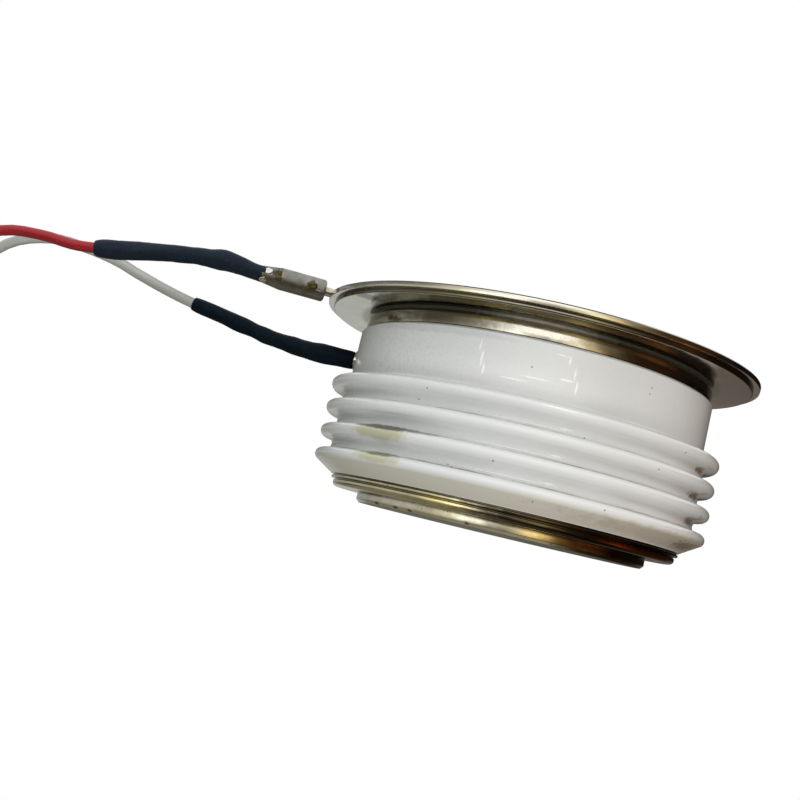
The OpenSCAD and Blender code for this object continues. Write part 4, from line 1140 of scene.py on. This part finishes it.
# %% Small metal finishes
def solder_finish(name, base, flux, amount, metallic=1.0, bumpy=0.5, rough=(0.16, 0.42)):
    f = Finish(name, Metallic=metallic)
    colour = f.mix(f.smudges(0.9, 3.0, amount), base, flux)
    return f.lay(colour, f.smudges(2.0, 2.0), rough, f.cloud(2.2, 4.0, 0.6), bumpy, 0.08)


def barrel_finish():
    f = Finish("crimp_barrel_finish", Metallic=1.0)
    grey = f.mix(f.smudges(0.7, 2.5), (0.20, 0.20, 0.185), (0.32, 0.32, 0.30))
    grey = f.tint(grey, f.specks(2.2, 0.3, 0.3), 0.35, (0.16, 0.14, 0.10))
    return f.lay(grey, f.smudges(1.6, 2.0), (0.36, 0.55), f.cloud(4.0, 4.0, 0.6), 0.35, 0.05)


solder_bright = solder_finish("bright_solder_finish", (0.92, 0.92, 0.91), (0.62, 0.58, 0.48), 0.2, bumpy=0.25,
                              rough=(0.10, 0.25))
solder_flux = solder_finish("fluxed_solder_finish", (0.62, 0.58, 0.46), (0.30, 0.21, 0.07), 0.55)
flux_amber = solder_finish("amber_flux_finish", (0.10, 0.072, 0.012), (0.022, 0.019, 0.006), 0.5, metallic=0.2,
                           bumpy=0.35, rough=(0.05, 0.14))
barrel_grey = barrel_finish()
pin_plate, tube_plate = (plated_finish(name, (0.72, 0.70, 0.64), (0.50, 0.46, 0.36), (0.2, 0.35), 4.0, 0.3, 0.3,
                                       smudge=0.8) for name in ("terminal_pin_finish", "gate_tube_finish"))
print("small metal finishes made")

# %% [markdown]
# ## Finishes of the leads
# Insulation has a soft gloss with faint streaks along it. The sleeves are duller, with fine creases across
# them. Both read the UV map along the tube. The photograph's metal mirrors a plain room and none of the
# leads, so they stay out of mirrored rays.

# %% Insulation, sleeves and strands
def along_tube(f, scale, *noise_values):
    stretched = f.put("ShaderNodeMapping", inputs={"Vector": f.put("ShaderNodeUVMap", {"uv_map": "Along"}),
                                                   "Scale": scale})
    return f.noise(stretched, 1.0, *noise_values)


def insulation_finish(name, light, dark, rough, coat):
    f = Finish(name, Coat_Weight=coat, Coat_Roughness=0.2, IOR=1.46)
    streaks = along_tube(f, (60.0, 6.0, 1.0), 3.0, 0.55)
    colour = f.mix(f.step(streaks, 0.35, 0.7), light, dark)
    colour = f.tint(colour, f.specks(1.4, 0.22, 0.12), 0.35, (0.12, 0.10, 0.07))
    return f.lay(colour, streaks, rough, f.maths("ADD", streaks, f.cloud(2.0, 3.0, 0.6)), 0.3, 0.04)


def sleeve_finish(name, dark, light, shine):
    f = Finish(name, IOR=1.4, Specular_IOR_Level=shine)
    creases = along_tube(f, (900.0, 9.0, 1.0), 3.0, 0.6, 0.4)
    colour = f.mix(f.smudges(0.5, 2.4), dark, light)
    colour = f.tint(colour, f.smudges(2.6, 5.0, -0.4), 0.4, tuple(4 * c for c in light))
    height = f.maths("MULTIPLY_ADD", creases, 0.7, f.cloud(3.5, 3.0, 0.6))
    return f.lay(colour, f.smudges(1.1, 2.0), (0.38, 0.6), height, 0.4, 0.06)


def strands_finish(material, tin, copper):
    f = Finish(material.name, material, Metallic=1.0)
    f.lay(f.mix(f.smudges(1.5, 3.0, 0.25), tin, copper), f.cloud(3.0, 3.0), (0.2, 0.45), f.cloud(6.0, 3.0), 0.3, 0.02)


red_rubber = insulation_finish("red_insulation_finish", (0.36, 0.008, 0.018), (0.24, 0.005, 0.012), (0.3, 0.45), 0.15)
white_rubber = insulation_finish("white_insulation_finish", (0.47, 0.49, 0.47), (0.38, 0.39, 0.36), (0.3, 0.5), 0.2)
red_side = sleeve_finish("red_lead_sleeve_finish", (0.006, 0.012, 0.022), (0.012, 0.020, 0.032), 0.22)
gate_side = sleeve_finish("gate_lead_sleeve_finish", (0.002, 0.006, 0.011), (0.005, 0.010, 0.016), 0.08)
strands_finish(tinned, (0.74, 0.73, 0.70), (0.62, 0.42, 0.28))
for piece, finish in ((red_insulation, red_rubber), (white_insulation, white_rubber), (red_sleeve, red_side),
                      (gate_sleeve, gate_side)):
    piece.data.materials.append(finish)
    piece.visible_glossy = False
print("lead finishes on")

# %% [markdown]
# ## Terminal, barrel and gate tube
# The small parts keep the solids' shapes as smooth copies. The solder on the rim is a low mound that has run
# along the pin, amber flux has set at both ends of the barrel, and bright solder shows where the lead goes in.

# %% Barrel, pin, tube and collar
settle(smooth_copy("crimp_barrel", "lead_barrel", barrel_grey, 40), "barrel_metal", "lead_barrel")
settle(smooth_copy("rim_pin", "terminal_pin", pin_plate), "terminal_metal", "terminal_pin")
gate_tube = settle(smooth_copy("gate_tube_shell", "gate_tube", tube_plate), "gate_tube_metal", "gate_tube")
gate_braze = settle(smooth_copy("gate_braze_collar", "gate_braze", solder_bright), "solder", "gate_braze")
for piece in (gate_tube, gate_braze):
    piece.visible_glossy = False
print("small parts copied")

# %% Drops of solder and flux
TERMINAL = math.radians(198)
OUT = Vector((math.cos(TERMINAL), math.sin(TERMINAL), 0))
SIDE = Vector((-math.sin(TERMINAL), math.cos(TERMINAL), 0))
PIN_Z, NO_FLOOR = 25.6, 0
# (outwards from the axis, sideways, up), half sizes, lumpiness, seed, lowest height
RIM_DROPS = [((27.7, 0, 0.1), (1.35, 1.15, 0.75), 0.2, 2.0, PIN_Z),
             ((29.8, 0.1, 0.0), (0.85, 0.45, 0.42), 0.15, 5.0, NO_FLOOR)]
FLUX_DROPS = [((32.15, 0.78, 0.0), (0.95, 0.85, 0.8), 0.18, 7.0, NO_FLOOR),
              ((32.55, 0.9, -0.3), (0.6, 0.6, 0.55), 0.15, 3.0, NO_FLOOR),
              ((36.5, 0.7, 0.15), (0.85, 0.74, 0.95), 0.18, 11.0, NO_FLOOR),
              ((36.3, 0.85, -0.25), (0.6, 0.6, 0.55), 0.15, 8.0, NO_FLOOR)]
SOLDER_DROPS = [((37.9, 0.38, 0.0), (0.95, 0.72, 0.8), 0.2, 4.0, NO_FLOOR),
                ((38.3, 0.34, -0.6), (0.65, 0.65, 0.55), 0.2, 9.0, NO_FLOOR)]


def blobs(name, drops, finish, detail=5):
    """Lumpy drops, stretched along the rim terminal's own axes."""
    bm = bmesh.new()
    for centre, half, lumpy, seed, floor in drops:
        for v in bmesh.ops.create_icosphere(bm, subdivisions=detail, radius=1.0)["verts"]:
            n = v.co.normalized()
            lump = noise.noise(n * 1.7 + Vector((seed, 0, 0))) + 0.4 * noise.noise(n * 4 + Vector((0, seed, 0)))
            out, side, up = (c + n[i] * half[i] * (1 + lumpy * lump) for i, c in enumerate(centre))
            p = OUT * out + SIDE * side + Vector((0, 0, PIN_Z + up))
            p.z = max(p.z, floor)
            v.co = p * MM
    mesh = plain_mesh(name, bm)
    mesh.materials.append(finish)
    return piece_from_mesh(name, mesh, 70)


settle(blobs("rim_solder_mound", RIM_DROPS, solder_bright, 4), "solder", "terminal_solder")
settle(blobs("barrel_flux_drops", FLUX_DROPS, flux_amber), "solder_and_flux")
settle(blobs("barrel_solder_drop", SOLDER_DROPS, solder_bright), "solder_and_flux")
print("terminal dressed")

# %% [markdown]
# ## Inner pieces
# The silicon stack, the gate contact and its wire are inside the closed capsule. They keep their solids, and
# each gets a finish of its own, so a cut-away view looks right.

# %% Finishes of the inner pieces
def plain_metal(name, light, dark, rough, scale=1.0):
    f = Finish(name, Metallic=1.0)
    rings = f.use("Turning Marks", Fineness=4.0, Wander=0.8, Detail=3.0)
    return f.lay(f.mix(f.smudges(scale, 2.2), light, dark), f.cloud(1.5, 3.0), rough, rings, 0.25, 0.02)


def moulded(name, light, dark, rough):
    f = Finish(name, IOR=1.47)
    colour = f.mix(f.smudges(0.4, 1.8), light, dark)
    return f.lay(colour, f.cloud(2.0, 3.0), rough, f.cloud(5.0, 4.0, 0.6), 0.3, 0.03)


INNER = [
    (plain_metal("molybdenum_finish", (0.42, 0.42, 0.44), (0.30, 0.30, 0.32), (0.35, 0.5)),
     "anode_disc", "cathode_disc"),
    (plain_metal("silicon_finish", (0.20, 0.22, 0.26), (0.12, 0.13, 0.16), (0.06, 0.14), 0.2), "silicon_wafer"),
    (moulded("seal_rubber_finish", (0.48, 0.13, 0.09), (0.36, 0.09, 0.06), (0.45, 0.6)), "edge_seal"),
    (moulded("inner_plastic_finish", (0.80, 0.77, 0.68), (0.70, 0.66, 0.56), (0.4, 0.55)), "locating_ring",
     "gate_insulator", "gate_wire_tube"),
    (plain_metal("spring_finish", (0.56, 0.54, 0.50), (0.40, 0.38, 0.34), (0.2, 0.35), 2.0), "gate_spring"),
    (plain_metal("gate_contact_finish", (0.78, 0.77, 0.74), (0.62, 0.60, 0.55), (0.15, 0.3), 1.5),
     "gate_pin", "gate_wire"),
    (plain_metal("bare_copper_finish", (0.72, 0.42, 0.26), (0.50, 0.26, 0.14), (0.25, 0.4), 2.0), "red_core"),
    (solder_bright, "gate_solder"),
    (solder_flux, "barrel_solder")]

for finish, *names in INNER:
    for name in names:
        for slot in nodes[name].material_slots:
            slot.material = finish
print("inner finishes:", len(INNER))
